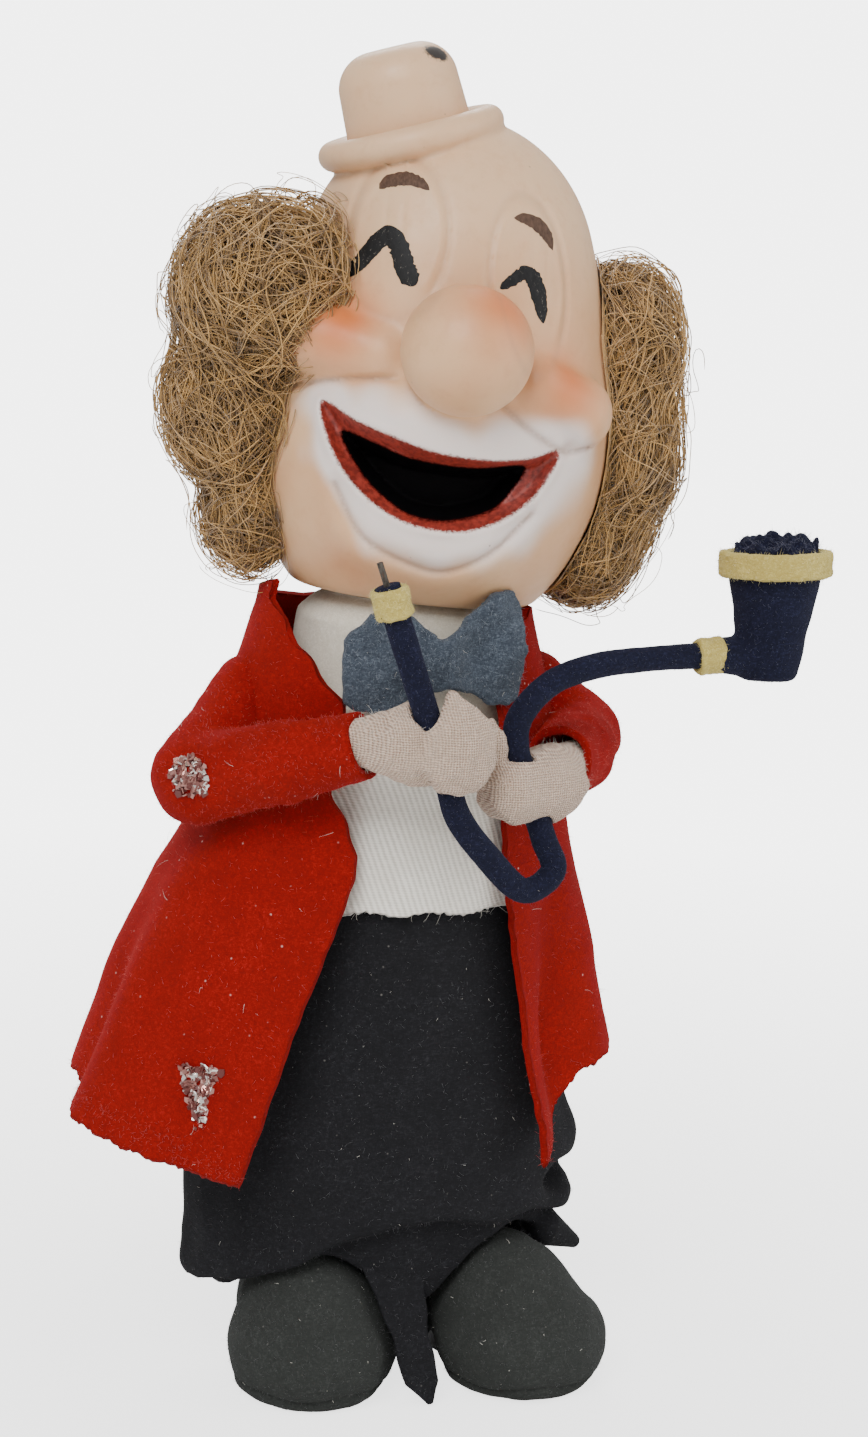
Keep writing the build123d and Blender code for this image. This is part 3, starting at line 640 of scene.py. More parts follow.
GREY_LINT = (150, 145, 140)
red_felt = felt("red_felt", (150, 18, 15), (110, 10, 9), (178, 34, 27), 0.5, (235, 205, 195))
black_felt = felt("black_felt", (34, 34, 37), (20, 20, 22), (62, 62, 66), 0.35, GREY_LINT, sheen=0.12)
shoe_felt = felt("shoe_felt", (54, 56, 54), (40, 42, 40), (84, 86, 84), 0.3, GREY_LINT, sheen=0.15)
white_felt = felt("white_felt", (228, 222, 207), (202, 194, 177), (242, 239, 230), sheen=0.3)
tie_felt = felt("tie_felt", (88, 98, 110), (44, 50, 60), (150, 158, 166), sheen=0.3, patch=0.5)
navy_felt = felt("navy_felt", (27, 29, 50), (14, 15, 28), (58, 62, 92), sheen=0.3)
yellow_felt = felt("yellow_felt", (206, 190, 112), (160, 140, 70), (232, 222, 160), 0.3, (245, 240, 205))
wadding = felt("wadding", (232, 226, 212), (205, 198, 184), (246, 243, 236))
sole_board = felt("sole_board", (46, 44, 43), (30, 29, 28), (78, 74, 70), sheen=0.1)
satin = satin_cloth()
crepe = crepe_cloth()
vinyl = vinyl_skin()
eye_paint = brush_paint("eye_paint", (10, 10, 11), (24, 23, 24), gaps=0.5)
brow_paint = brush_paint("brow_paint", (62, 44, 34), (92, 68, 54))
glitter = glitter_paint()
wire = dull_wire()
wood = dowel_wood()
steel = turned_steel()
mohair = fibre("mohair", (82, 56, 26), (198, 154, 90), 0.36)
# The tufts' core is darker than the strands: painted shade inside the tufts
painted_shade_mohair_core = felt("painted_shade_mohair_core", (72, 51, 31), (42, 29, 18), (104, 77, 48), sheen=0.2, patch=0.3)
red_lint = fibre("red_lint", (152, 20, 15), (204, 60, 46), 0.8)
dark_lint = fibre("dark_lint", (30, 30, 33), (84, 84, 88), 0.8)
pale_lint = fibre("pale_lint", (206, 200, 186), (244, 240, 230), 0.8)
navy_lint = fibre("navy_lint", (20, 22, 40), (60, 64, 96), 0.8)
yellow_lint = fibre("yellow_lint", (186, 168, 92), (236, 226, 168), 0.8)
tie_lint = fibre("tie_lint", (70, 78, 90), (150, 158, 166), 0.8)

# The materials of the CAD pieces, by their slots
node_materials = {
    "wire": wire, "dowel_wood": wood, "wadding": wadding, "black_felt": black_felt, "navy_felt": navy_felt,
    "yellow_felt": yellow_felt, "red_felt": red_felt, "white_felt": white_felt, "satin": satin,
    "crepe": crepe, "tie_felt": tie_felt, "vinyl": vinyl, "mohair": painted_shade_mohair_core, "glitter": glitter,
    "sole_board": sole_board, "weight_steel": steel,
}
for part in frame["record"]["subparts"]:
    for place in frame["nodes"][part["node"]].material_slots:
        place.material = node_materials[part["material_slot"]]


# ------------------------------------------------------------------ loose fibres on cloth

def surface_samples(obj, count, rng, keep=None):
    """Random points and normals on a mesh, in millimetres, where keep(points) is true."""
    mesh = obj.data
    mesh.calc_loop_triangles()
    corner = np.zeros(len(mesh.vertices) * 3)
    mesh.vertices.foreach_get("co", corner)
    corner = corner.reshape(-1, 3) / MM - SHIFT
    triangle = np.zeros(len(mesh.loop_triangles) * 3, int)
    mesh.loop_triangles.foreach_get("vertices", triangle)
    a, b, c = corner[triangle.reshape(-1, 3)].transpose(1, 0, 2)
    normal = np.cross(b - a, c - a)
    area = length(normal)
    chance = area.copy()
    if keep is not None:
        chance = chance * keep((a + b + c) / 3)
    pick = rng.choice(len(area), count, p=chance / chance.sum())
    s, t = rng.random(count), rng.random(count)
    s, t = np.where(s + t > 1, 1 - s, s), np.where(s + t > 1, 1 - t, t)
    points = a[pick] + (b[pick] - a[pick]) * s[:, None] + (c[pick] - a[pick]) * t[:, None]
    return points, normal[pick] / area[pick][:, None]


FUZZ_STEPS = 4


def fuzz(obj, name, material, count, reach, seed, keep=None, thick=0.03):
    """Short curved fibres that stand out of a cloth piece and ride with it."""
    rng = np.random.default_rng(seed)
    points, normals = surface_samples(obj, count, rng, keep)
    lean = rng.normal(size=(count, 3))
    aim = unit(normals * rng.uniform(0.2, 1, (count, 1)) + lean * 0.55)
    bend = rng.normal(size=(count, 3)) * 0.5
    size = reach * rng.uniform(0.35, 1, (count, 1))
    t = np.linspace(0, 1, FUZZ_STEPS)[None, :, None]
    paths = points[:, None] + (aim[:, None] * t + bend[:, None] * t**2 * 0.6) * size[:, None]
    radii = thick * (1 - 0.7 * t[..., 0]) * np.ones((count, 1))
    verts, faces = tubes(paths, radii)
    piece = mesh_object(name, verts, faces, material)
    store(piece, "strand", np.repeat(rng.random(count), FUZZ_STEPS * FIBRE_SIDES))
    piece.parent = obj
    return piece


# ------------------------------------------------------------------ head

# The face is drawn on the front of the head, as sideways and upward places in the head's frame
NOSE = np.array([0.5, -32.0, 42.0])
NOSE_RADIUS = 10.4
HAT_LEAN = math.radians(16)
HAT_BRIM = 15.5
LIP_LINE = smooth_line([
    (-20.3, 31.4), (-15, 29.2), (-9, 27.4), (-1.8, 25.7), (6.8, 25.4), (13.1, 26.2), (18.4, 27.6),
    (15.9, 21.6), (11.2, 16.8), (4.2, 13.7), (-3.8, 13.7), (-10, 16.0), (-15.4, 20.4), (-18.9, 25.8),
], 5, closed=True)
MOUTH_LINE = smooth_line([
    (-16.8, 27.0), (-11.2, 25.9), (-5.7, 24.3), (3.9, 23.8), (12.9, 24.9),
    (11.4, 20.6), (8.2, 17.0), (2.1, 14.9), (-3, 14.8), (-7.4, 16.3), (-13, 20.8),
], 5, closed=True)
CHIN_LINE = smooth_line([(-16.8, 18.6), (-11.6, 10.8), (-2.6, 7.2), (2.8, 7.2), (9.1, 10.9), (14.8, 17.2)], 5)
RIGHT_SMILE = smooth_line([(-25, 33.0), (-17, 35.2), (-9.4, 36.4)], 5)
LEFT_SMILE = smooth_line([(23.6, 28.6), (19, 27.6), (12.6, 30.6), (7.4, 34.2)], 5)
SOCKETS = (
    {"centre": (-11.0, 58.0), "half": (7.4, 12.6), "lean": 0.05},
    {"centre": (10.2, 53.0), "half": (6.6, 14.2), "lean": -0.16},
)
hat_origin = head.inward([(-1.0, 1.0, 203.2)])[0]
hat_up = head.inward([head.origin + (-math.sin(HAT_LEAN), 0.03, math.cos(HAT_LEAN))])[0]
hat_side = head.inward([head.origin + (math.cos(HAT_LEAN), 0, math.sin(HAT_LEAN))])[0]
hat = Local(hat_origin, hat_side, hat_up)


def skull(p):
    """The pear-shaped bald head: a jowly lower egg and a taller upper one."""
    jowls = egg(p, (0, 0, 27), (30, 29, 36))
    dome = egg(p, (0, 0.5, 52), (24.5, 25, 27.0))
    return join(jowls, dome, 8)


def hat_field(p):
    """A small bowler: a rolled brim, a shallow groove and a crown with a rounded top."""
    q = hat.inward(p)
    reach = length(q[:, :2])
    wobble = 1 + 0.012 * np.sin(np.arctan2(q[:, 1], q[:, 0]) * 3 + 1)
    roll = np.hypot(reach / wobble - (HAT_BRIM - 2.5), q[:, 2] * 1.02) - 2.5
    disc = np.maximum(np.abs(q[:, 2]) - 1.3, reach - (HAT_BRIM - 3))
    side = 10.3 - 0.055 * np.maximum(q[:, 2], 0)
    over = np.maximum(q[:, 2] - 9.2, 0)
    crown = np.hypot(np.maximum(reach - (side - 5.6), 0), over) - 5.6
    crown = np.maximum(crown, -q[:, 2] - 1)
    return join(join(roll, disc, 0.8), crown, 0.5)


def front_of(p):
    """1 on the face, fading to 0 round the sides."""
    return fade(-p[:, 1], 6, 12)


def eye_oval(p, socket):
    """How far each point is round the eye's oval: 1 on its rim."""
    x, z = p[:, 0] - socket["centre"][0], p[:, 2] - socket["centre"][1]
    turned = x * math.cos(socket["lean"]) - z * math.sin(socket["lean"])
    upright = x * math.sin(socket["lean"]) + z * math.cos(socket["lean"])
    return np.hypot(turned / socket["half"][0], upright / socket["half"][1])


def face_lines(p):
    """Distances to the drawn lines, worked out only near them: lips, mouth, chin and smile creases."""
    far = {name: np.full(len(p), 30.0) for name in ("lip", "mouth", "chin", "right", "left")}
    near = (p[:, 1] < -8) & (p[:, 2] < 46) & (np.abs(p[:, 0]) < 28)
    q = p[near][:, [0, 2]]
    if len(q):
        far["lip"][near] = loop_distance(q, LIP_LINE)
        far["mouth"][near] = loop_distance(q, MOUTH_LINE)
        far["chin"][near] = line_distance(q, CHIN_LINE)
        far["right"][near] = line_distance(q, RIGHT_SMILE)
        far["left"][near] = line_distance(q, LEFT_SMILE)
    return far


def head_form(p, drawn=True):
    """The whole moulded head, hat and all, in the head's frame."""
    body = skull(p)
    front = front_of(p)
    # Upper lip and chin swell round the mouth
    swell = egg(p, (-1, -19.5, 29), (17, 11.4, 9))
    body = join(body, swell, 4)
    body = join(body, egg(p, (-1, -17, 12), (15.5, 10.6, 8.5)), 4)
    right_cheek = bean(p, (-21.5, -16.8, 41), (-12, -22.8, 39.6), 6.2, 4.6)
    left_cheek = bean(p, (13.2, -22.6, 37.2), (20.6, -17.6, 33.6), 5.0, 6.4)
    body = join(body, np.minimum(right_cheek, left_cheek), 1.6)
    for socket in SOCKETS:
        around = eye_oval(p, socket)
        rim = bump(around - 1, 0.085) * 0.42 - bump(around - 0.86, 0.09) * 0.22
        open_below = fade(p[:, 2] - socket["centre"][1], -0.75 * socket["half"][1], -0.35 * socket["half"][1])
        body = body + rim * front * open_below - 0.45 * np.exp(-(around**2) * 1.6) * front
        for shift in (-2.1, 0.4, 2.9):
            lift = fade(p[:, 2] - socket["centre"][1], -1, 2) * fade(socket["centre"][1] + 8 - p[:, 2], 0, 3)
            body = body + 0.13 * bump(p[:, 0] - socket["centre"][0] - shift, 0.3) * lift * front
    if drawn:
        far = face_lines(p)
        body = body + front * 0.5 * bump(far["chin"], 0.55)
        body = body - front * 0.5 * bump(far["chin"] - 2.2, 1.9) * (far["lip"] > 0)
        body = body + front * 0.75 * bump(far["right"], 0.65) + front * 0.75 * bump(far["left"], 0.65)
        body = body + front * np.clip(-far["lip"] * 1.15, 0, 2.2)
        body = body + front * np.clip(-far["mouth"] * 2.2, 0, 4.6)
        body = body - front * 0.28 * bump(far["lip"] - 0.5, 0.7)
    body = body + 0.9 * bump(length(p - np.array([19.9, -22.2, 28.0])), 1.1)
    nose = egg(p, NOSE, (NOSE_RADIUS, NOSE_RADIUS, NOSE_RADIUS * 0.985))
    body = join(body, nose, 0.9)
    body = join(body, hat_field(p), 1.0)
    # The head ends in a flat ring round the open neck
    body = cut(body, p[:, 2] - 0.2, 1.2)
    opening = np.maximum(length(p[:, :2]) - 14, p[:, 2] - 4)
    return cut(body, opening, 0.6)


def build_head():
    """The moulded head, with the distances its paint follows kept on the mesh."""
    points, quads = field_mesh(head_form, (-31, -44, -1), (31, 31, 92), 1.05)
    obj = mesh_object("vinyl_head", head.outward(points), quads, vinyl)
    far = face_lines(points)
    store(obj, "lip_edge", far["lip"])
    store(obj, "mouth_edge", far["mouth"])
    around_mouth = np.clip(far["lip"], -30, 30)
    cloud = Ripple(3, 9)(points) * 1.4
    smile_side = np.where(points[:, 0] < 0, 35.0 - 0.05 * points[:, 0], 32.5)
    reach = np.interp(points[:, 0], [-21, -11], [0.3, 1.0])
    white = fade(-(around_mouth + cloud) / reach, -8.5, -3.0) * fade(smile_side - points[:, 2], -2.0, 1.0)
    white = np.maximum(white, fade(-(around_mouth + cloud), -4.5, -1.5) * fade(36 - points[:, 2], 0, 2))
    nose_skin = fade(NOSE_RADIUS + 0.8 - length(points - NOSE), 0, 0.6)
    store(obj, "muzzle", white * front_of(points) * (1 - nose_skin) * 0.92)
    blush = 0.8 * bump(length(points - (4.6, -36.5, 49.2)), 7.2) * nose_skin
    blush = blush + 1.0 * bump(length(points - (-18.2, -22.0, 43.2)), 6.2)
    blush = blush + 0.9 * bump(length(points - (17.6, -23.4, 37.8)), 6.0)
    blush = blush + 0.3 * bump(length(points - (-12.6, -22.0, 3.0)), 6.5)
    store(obj, "blush", np.clip(blush, 0, 1))
    # Where the face creases, round the nose's foot and round the eye rims the vinyl is darkened: painted shade in
    # the grooves, with some dirt
    crease = 0.55 * bump(far["chin"], 0.42) + 0.45 * bump(far["right"], 0.5) + 0.45 * bump(far["left"], 0.5)
    crease = crease + 0.7 * bump(length(points - (19.9, -22.2, 28.0)), 0.9)
    behind_nose = points[:, 1] > NOSE[1] + 2
    crease = crease + 0.25 * bump(length(points - NOSE) - NOSE_RADIUS - 0.3, 0.6) * behind_nose
    for socket in SOCKETS:
        crease = crease + 0.16 * bump(eye_oval(points, socket) - 1, 0.06) * front_of(points)
    store(obj, "crease", np.clip(crease, 0, 1))
    # Paler towards the top of the dome: painted light falling from above
    store(obj, "pale", fade(points[:, 2], 46, 66) * 0.55)
    in_hat = hat.inward(points)
    smudge_spot = np.array([5.0, -6.4, 12.2])
    store(obj, "smudge", bump(length((in_hat - smudge_spot) / (2.8, 2.0, 1.7)), 1.0))
    return dress(obj, "head", "vinyl", "head_shell")


def bare_head(p):
    """The moulded head without the lines of its face."""
    return head_form(p, False)


def on_face(line, lift):
    """Places (side, up) points on the front of the head, lifted off it a little."""
    line = np.asarray(line, float)
    p = np.stack([line[:, 0], np.full(len(line), -27.0), line[:, 1]], 1)
    step = np.array([0, GRADIENT_STEP, 0])
    for _ in range(12):
        slope = (bare_head(p + step) - bare_head(p - step)) / (2 * GRADIENT_STEP)
        p[:, 1] -= bare_head(p) / np.minimum(slope, -0.25) * 0.8
    return p + unit(gradient(bare_head, p)) * lift


def face_stroke(name, centre_line, widths, material, seed):
    """A thin stroke of paint on the face, with brushed edges and rounded ends."""
    line = smooth_line(centre_line, 14)
    steps = len(line)
    t = np.linspace(0, 1, steps)
    width = np.interp(t, np.linspace(0, 1, len(widths)), widths)
    ends = np.sqrt(np.clip(np.minimum(t, 1 - t) * 14, 0.02, 1))
    along = np.gradient(line, axis=0)
    across = unit(np.stack([-along[:, 1], along[:, 0]], 1))
    rough = Ripple(seed, 0.9, 2)
    columns = np.linspace(-1, 1, 9)
    rows = []
    for c in columns:
        ragged = 1 + 0.12 * rough(line + c * 7.3) * abs(c)
        rows.append(line + across * (width * ends * 0.5 * c * ragged)[:, None])
    flat = np.stack(rows, 1)
    edge = (1 - np.abs(columns) ** 3)[None, :].repeat(steps, 0) * np.clip(ends, 0, 1)[:, None]
    points = on_face(flat.reshape(-1, 2), 0.02)
    points = points + unit(gradient(bare_head, points)) * (0.09 * edge.reshape(-1, 1))
    n = len(columns)
    quads = [
        (i * n + j, i * n + j + 1, (i + 1) * n + j + 1, (i + 1) * n + j)
        for i in range(steps - 1) for j in range(n - 1)
    ]
    obj = mesh_object(name, head.outward(points), quads, material)
    return dress(obj, "head", "vinyl")


build_head()
face_stroke("right_eye_paint", [
    (-18.3, 50.9), (-16.4, 53.6), (-13.9, 57.2), (-12.3, 58.2), (-10.9, 56.6), (-9.6, 53.3), (-8.0, 50.9),
], [1.4, 2.2, 2.6, 3.0, 3.0, 3.2, 3.0], eye_paint, 11)
face_stroke("left_eye_paint", [
    (5.4, 52.0), (7.4, 53.6), (9.3, 54.9), (10.9, 53.9), (12.1, 51.3), (13.2, 47.4),
], [1.2, 1.8, 2.3, 2.8, 2.7, 1.4], eye_paint, 12)
face_stroke("right_brow_paint", [
    (-14.4, 65.3), (-13.0, 66.6), (-10.6, 67.3), (-8.4, 66.9), (-6.9, 65.9),
], [0.7, 2.0, 2.2, 1.8, 0.5], brow_paint, 13)
face_stroke("left_brow_paint", [
    (6.8, 63.2), (8.6, 63.3), (10.9, 62.6), (12.7, 61.0), (13.8, 58.9),
], [0.6, 1.7, 2.2, 1.9, 0.4], brow_paint, 14)


# ------------------------------------------------------------------ hair

# Each tuft is a few soft lobes on the side of the head, in the head's frame
TUFTS = {
    "right": [((-30.0, -10.5, 47.5), (13.6, 12.5, 14.2)), ((-32.5, -5.5, 29), (10.2, 11, 12.5)),
              ((-28.5, -3.5, 13), (6.4, 8.0, 10.0))],
    "left": [((30.0, 3, 45), (8.8, 11, 12.5)), ((31.5, 3.5, 27), (9.0, 12, 17)),
             ((28.5, 3.5, 12), (8.0, 10, 9.5))],
}


# What each step of a strand turns downwards by
HANG = np.array([0, 0, -0.11])


def tuft_field(lobes):
    """The lobes of one tuft melted together, less the head behind them."""
    def field(p):
        whole = egg(p, *lobes[0])
        for lobe in lobes[1:]:
            whole = join(whole, egg(p, *lobe), 3.5)
        return whole
    return field


def grow_strands(field, count, bundle, steps, step, levels, wander, seed):
    """Strands that walk over the tuft in loose bundles, each at its own slowly changing depth."""
    rng = np.random.default_rng(seed)
    groups = count // bundle
    strands = groups * bundle
    roots = np.array(field_points(field, groups, rng))
    p = np.repeat(roots, bundle, 0) + rng.normal(size=(strands, 3)) * 0.6
    heading = np.repeat(rng.normal(size=(groups, 3)), bundle, 0) + rng.normal(size=(strands, 3)) * 0.1
    home = np.repeat(rng.uniform(*levels, groups), bundle) + rng.normal(size=strands) * 0.5
    own = rng.normal(size=(strands, 3)) * 1.5
    own = own + np.repeat(rng.normal(size=(groups, 3)) * 40, bundle, 0)
    swirl = [Ripple(seed + k, 13) for k in range(3)]
    crimp = [Ripple(seed + 5 + k, 6.5) for k in range(3)]
    drift = Ripple(seed + 9, 12)
    path = [p]
    for _ in range(steps):
        out = unit(gradient(field, p))
        q = p + own
        turn = np.stack([ripple(q) for ripple in swirl], 1) * wander
        turn = turn + np.stack([ripple(q) for ripple in crimp], 1) * wander * 0.6
        heading = unit(heading) + turn + HANG
        heading = unit(heading - out * (heading * out).sum(1)[:, None])
        p = p + heading * step
        aim = home + drift(q) * 1.1
        p = p - out * ((field(p) - aim) * 0.45)[:, None]
        inside = np.maximum(0.5 - skull(p), 0)
        p = p + unit(gradient(skull, p)) * inside[:, None]
        path.append(p)
    return np.stack(path, 1)


def field_points(field, count, rng):
    """Random points near the surface of a field, found by throwing points at it."""
    kept = []
    while len(kept) < count:
        p = rng.uniform((-48, -26, -2), (46, 24, 66), (count * 12, 3))
        p = p[np.abs(field(p)) < 2.5]
        p = p[skull(p) > -1.0]
        kept.extend(p)
    return kept[:count]


def build_tuft(side, seed):
    """A matted core under a shell of loose strands and a few stray curls."""
    field = tuft_field(TUFTS[side])
    lumps = Ripple(seed, 6)

    def core_field(p):
        lumpy = field(p) + 3.0 + 1.1 * lumps(p)
        return cut(lumpy, skull(p) + 0.8, 0.8)

    low = np.min([np.array(c) - r for c, r in TUFTS[side]], 0) - 1
    high = np.max([np.array(c) + r for c, r in TUFTS[side]], 0) + 1
    points, faces = field_mesh(core_field, low, high, 1.3)
    # The core's darker colour is painted shade deep in the tuft
    core = mesh_object(f"{side}_hair_core", head.outward(points), faces, painted_shade_mohair_core)
    mats = (
        grow_strands(field, 2200, 11, 28, 1.4, (-2.6, 1.4), 0.26, seed),
        grow_strands(field, 450, 6, 28, 1.3, (0.6, 3.2), 0.34, seed + 50),
        grow_strands(field, 90, 1, 26, 1.1, (1.8, 4.6), 0.62, seed + 90),
    )
    rng = np.random.default_rng(seed)
    points, faces, tones = [], [], []
    base = 0
    for mat, size in zip(mats, (0.12, 0.1, 0.08)):
        taper = np.ones(mat.shape[1])
        taper[0] = taper[-1] = 0.25
        radii = size * rng.uniform(0.75, 1.25, (len(mat), 1)) * taper
        p, f = tubes(mat, radii)
        points.append(p)
        faces.append(f + base)
        base += len(p)
        tones.append(np.repeat(rng.random(len(mat)), mat.shape[1] * FIBRE_SIDES))
    hair = mesh_object(f"{side}_hair", head.outward(np.concatenate(points)), np.concatenate(faces), mohair)
    store(hair, "strand", np.concatenate(tones))
    core.parent = hair
    return dress(hair, "head", "mohair", f"{side}_hair_tuft")


build_tuft("right", 31)
build_tuft("left", 47)


# ------------------------------------------------------------------ draped felt

def sheet(name, outer, thick, material, closed=False):
    """A thick sheet from a grid of points on its outer side: rows run down, columns run round."""
    rows, columns = outer.shape[:2]
    down = np.gradient(outer, axis=0)
    if closed:
        round_about = np.roll(outer, -1, 1) - np.roll(outer, 1, 1)
    else:
        round_about = np.gradient(outer, axis=1)
    normal = unit(np.cross(down, round_about))
    inner = outer - normal * thick
    middle = outer - normal * thick / 2
    index = np.arange(rows * columns).reshape(rows, columns)
    second = index + rows * columns
    across = columns if closed else columns - 1
    faces = []
    for r in range(rows - 1):
        for c in range(across):
            d = (c + 1) % columns
            faces.append((index[r, c], index[r + 1, c], index[r + 1, d], index[r, d]))
            faces.append((second[r, c], second[r, d], second[r + 1, d], second[r + 1, c]))
    points = [outer.reshape(-1, 3), inner.reshape(-1, 3)]
    start = 2 * rows * columns

    def rim(front, back, mid, loop):
        nonlocal start
        count = len(front)
        ring = np.arange(count) + start
        points.append(mid)
        start += count
        for k in range(count if loop else count - 1):
            m = (k + 1) % count
            faces.append((front[k], front[m], ring[m], ring[k]))
            faces.append((ring[k], ring[m], back[m], back[k]))

    outward = unit(down)
    if closed:
        rim(index[-1], second[-1], middle[-1] + outward[-1] * thick * 0.3, True)
        rim(index[0, ::-1], second[0, ::-1], (middle[0] - outward[0] * thick * 0.3)[::-1], True)
    else:
        border = [(r, 0) for r in range(rows)] + [(rows - 1, c) for c in range(1, columns)]
        border += [(r, columns - 1) for r in range(rows - 2, -1, -1)]
        border += [(0, c) for c in range(columns - 2, 0, -1)]
        at = tuple(np.array(border).T)
        side = unit(round_about)
        push = np.zeros_like(outer)
        push[-1] += outward[-1]
        push[0] -= outward[0]
        push[:, 0] -= side[:, 0]
        push[:, -1] += side[:, -1]
        rim(index[at], second[at], (middle + push * thick * 0.3)[at], True)
    return mesh_object(name, np.concatenate(points), faces, material)


# Coat ovals: height, how far it reaches to the doll's right, left and front and back from x = 0
COAT_OVALS = np.array([
    (30, 60.0, 41.0, 31.0),
    (38, 57.5, 39.5, 30.0),
    (47.3, 54.0, 38.4, 29.0),
    (56, 50.5, 36.2, 28.0),
    (67.5, 46.0, 34.8, 26.8),
    (80.8, 39.5, 31.5, 25.2),
    (89, 34.0, 30.0, 24.2),
    (100, 29.5, 28.0, 23.0),
    (109, 28.0, 26.0, 22.3),
    (115, 26.5, 24.5, 21.6),
    (121, 24.6, 22.8, 20.6),
    (126, 23.0, 21.6, 19.6),
    (133, 21.8, 20.8, 18.8),
])
# The coat's two front edges: height, and place to the side
RIGHT_LAPEL = np.array([
    (34, -33.8), (37.1, -31.7), (63.3, -22.6), (79.3, -16.2), (85, -14.0), (89, -13.4), (94, -14.8),
    (98.9, -17.0), (108, -15.4), (113.5, -14.8), (115.8, -17.0), (121.8, -20.6), (128.2, -22.4), (133, -21.4),
])
LEFT_LAPEL = np.array([
    (34, 20.4), (38.9, 19.9), (55.3, 16.0), (80.6, 12.8), (100, 11.6), (113.8, 11.0), (121.7, 14.0),
    (127.3, 18.7), (133, 20.5),
])
COAT_THICK = 1.3
# Folds of the coat: how many go round, where they start and how deep they are
COAT_FOLDS = ((3, 0.6, 1.0), (5, 2.1, 0.9), (8, 4.4, 0.55), (13, 1.2, 0.25))


def coat_grid(u, z):
    """Places on the coat's outside: u runs 0 to 1 from the right lapel round the back to the left one."""
    span = [np.interp(z, COAT_OVALS[:, 0], COAT_OVALS[:, k]) for k in (1, 2, 3)]
    right, left, depth = span
    centre = (left - right) / 2
    half = (left + right) / 2
    start_x = np.interp(z, RIGHT_LAPEL[:, 0], RIGHT_LAPEL[:, 1])
    end_x = np.interp(z, LEFT_LAPEL[:, 0], LEFT_LAPEL[:, 1])
    start = -np.arccos(np.clip((start_x - centre) / half, -1, 1))
    end = -np.arccos(np.clip((end_x - centre) / half, -1, 1)) - TAU
    angle = start + (end - start) * u
    loose = fade(96 - z, 0, 50)
    wave = sum(size * np.sin(count * angle + phase + 0.012 * (96 - z)) for count, phase, size in COAT_FOLDS)
    away = 1.9 * loose * wave * (0.2 + 0.8 * fade(u, 0, 0.05) * fade(1 - u, 0, 0.05))
    # The front corners lift a little
    lift = 1.2 * loose * (np.exp(-u * 26) + 1.4 * np.exp(-(1 - u) * 24))
    x = centre + (half + away + lift) * np.cos(angle)
    y = 0.8 + (depth + away + lift) * np.sin(angle)
    return np.stack([x, y, z], -1)


def build_coat():
    """The tail coat: one cut sheet of thick red felt, open down the front and flaring to an uneven hem."""
    u = np.linspace(0, 1, 330)
    v = np.linspace(0, 1, 150)
    hem_u = [0, 0.06, 0.14, 0.22, 0.3, 0.42, 0.55, 0.68, 0.78, 0.84, 0.92, 1]
    hem_z = [36.6, 39.0, 42.5, 45.5, 47.0, 43.5, 42.5, 45.0, 50.0, 51.5, 48.5, 35.0]
    top_u = [0, 0.03, 0.1, 0.2, 0.35, 0.65, 0.8, 0.9, 0.97, 1]
    top_z = [131.0, 130.6, 129.4, 127.4, 125.5, 125.1, 125.8, 126.4, 127.0, 127.2]
    ragged = Ripple(21, 2.6, 1)((u * 300)[:, None]) * 0.28 + Ripple(22, 9, 1)((u * 300)[:, None]) * 0.45
    hem = np.interp(u, hem_u, hem_z) + ragged
    top = np.interp(u, top_u, top_z)
    z = top[None] + (hem - top)[None] * v[:, None] ** 0.96
    grid = coat_grid(u[None].repeat(len(v), 0), z)
    lumps = Ripple(23, 11)
    flat = grid.reshape(-1, 3)
    sway = lumps(flat).reshape(grid.shape[:2]) * 0.22
    radial = grid - np.array([0, 0.8, 0])
    radial[..., 2] = 0
    grid = grid + unit(radial) * sway[..., None]
    # Cut edges of the lapels waver slightly
    waver = Ripple(24, 6, 1)(z[:, 0][:, None]) * 0.12
    grid[:, 0, 0] += waver
    grid[:, -1, 0] += Ripple(25, 5, 1)(z[:, -1][:, None]) * 0.12
    return sheet("felt_coat", grid, COAT_THICK, red_felt)


coat = dress(build_coat(), "torso", "red_felt", "coat")


def near_coat_edge(p):
    """1 for every place, far more beside the coat's cut edges."""
    hem = bump(p[:, 2] - np.interp(p[:, 0], [-56, -45, -32, 21, 42], [47, 43, 37, 36, 48]), 2.2)
    return 0.35 + 3.5 * hem


fuzz(coat, "coat_fuzz", red_lint, 9000, 0.95, 61, near_coat_edge, 0.028)
fuzz(coat, "coat_lint", pale_lint, 70, 2.6, 62, None, 0.03)


# ------------------------------------------------------------------ collar, shirt and bow tie

RING_ROWS = 60


def ring_grid(levels, columns, wobble_seed=None, wobble=0.0):
    """A closed grid through ovals given as (z, centre x, centre y, half width, half depth)."""
    levels = np.array(levels, float)
    z = np.linspace(levels[0, 0], levels[-1, 0], RING_ROWS)
    order = np.argsort(levels[:, 0])
    at = [np.interp(z, levels[order, 0], levels[order, k]) for k in range(1, 5)]
    angle = -np.linspace(0, TAU, columns, endpoint=False)
    x = at[0][:, None] + at[2][:, None] * np.cos(angle)
    y = at[1][:, None] + at[3][:, None] * np.sin(angle)
    grid = np.stack([x, y, z[:, None].repeat(columns, 1)], -1)
    if wobble:
        push = Ripple(wobble_seed, 9)(grid.reshape(-1, 3)).reshape(grid.shape[:2]) * wobble
        aim = np.stack([np.cos(angle), np.sin(angle), 0 * angle], -1)
        grid = grid + aim[None] * push[..., None]
    return grid


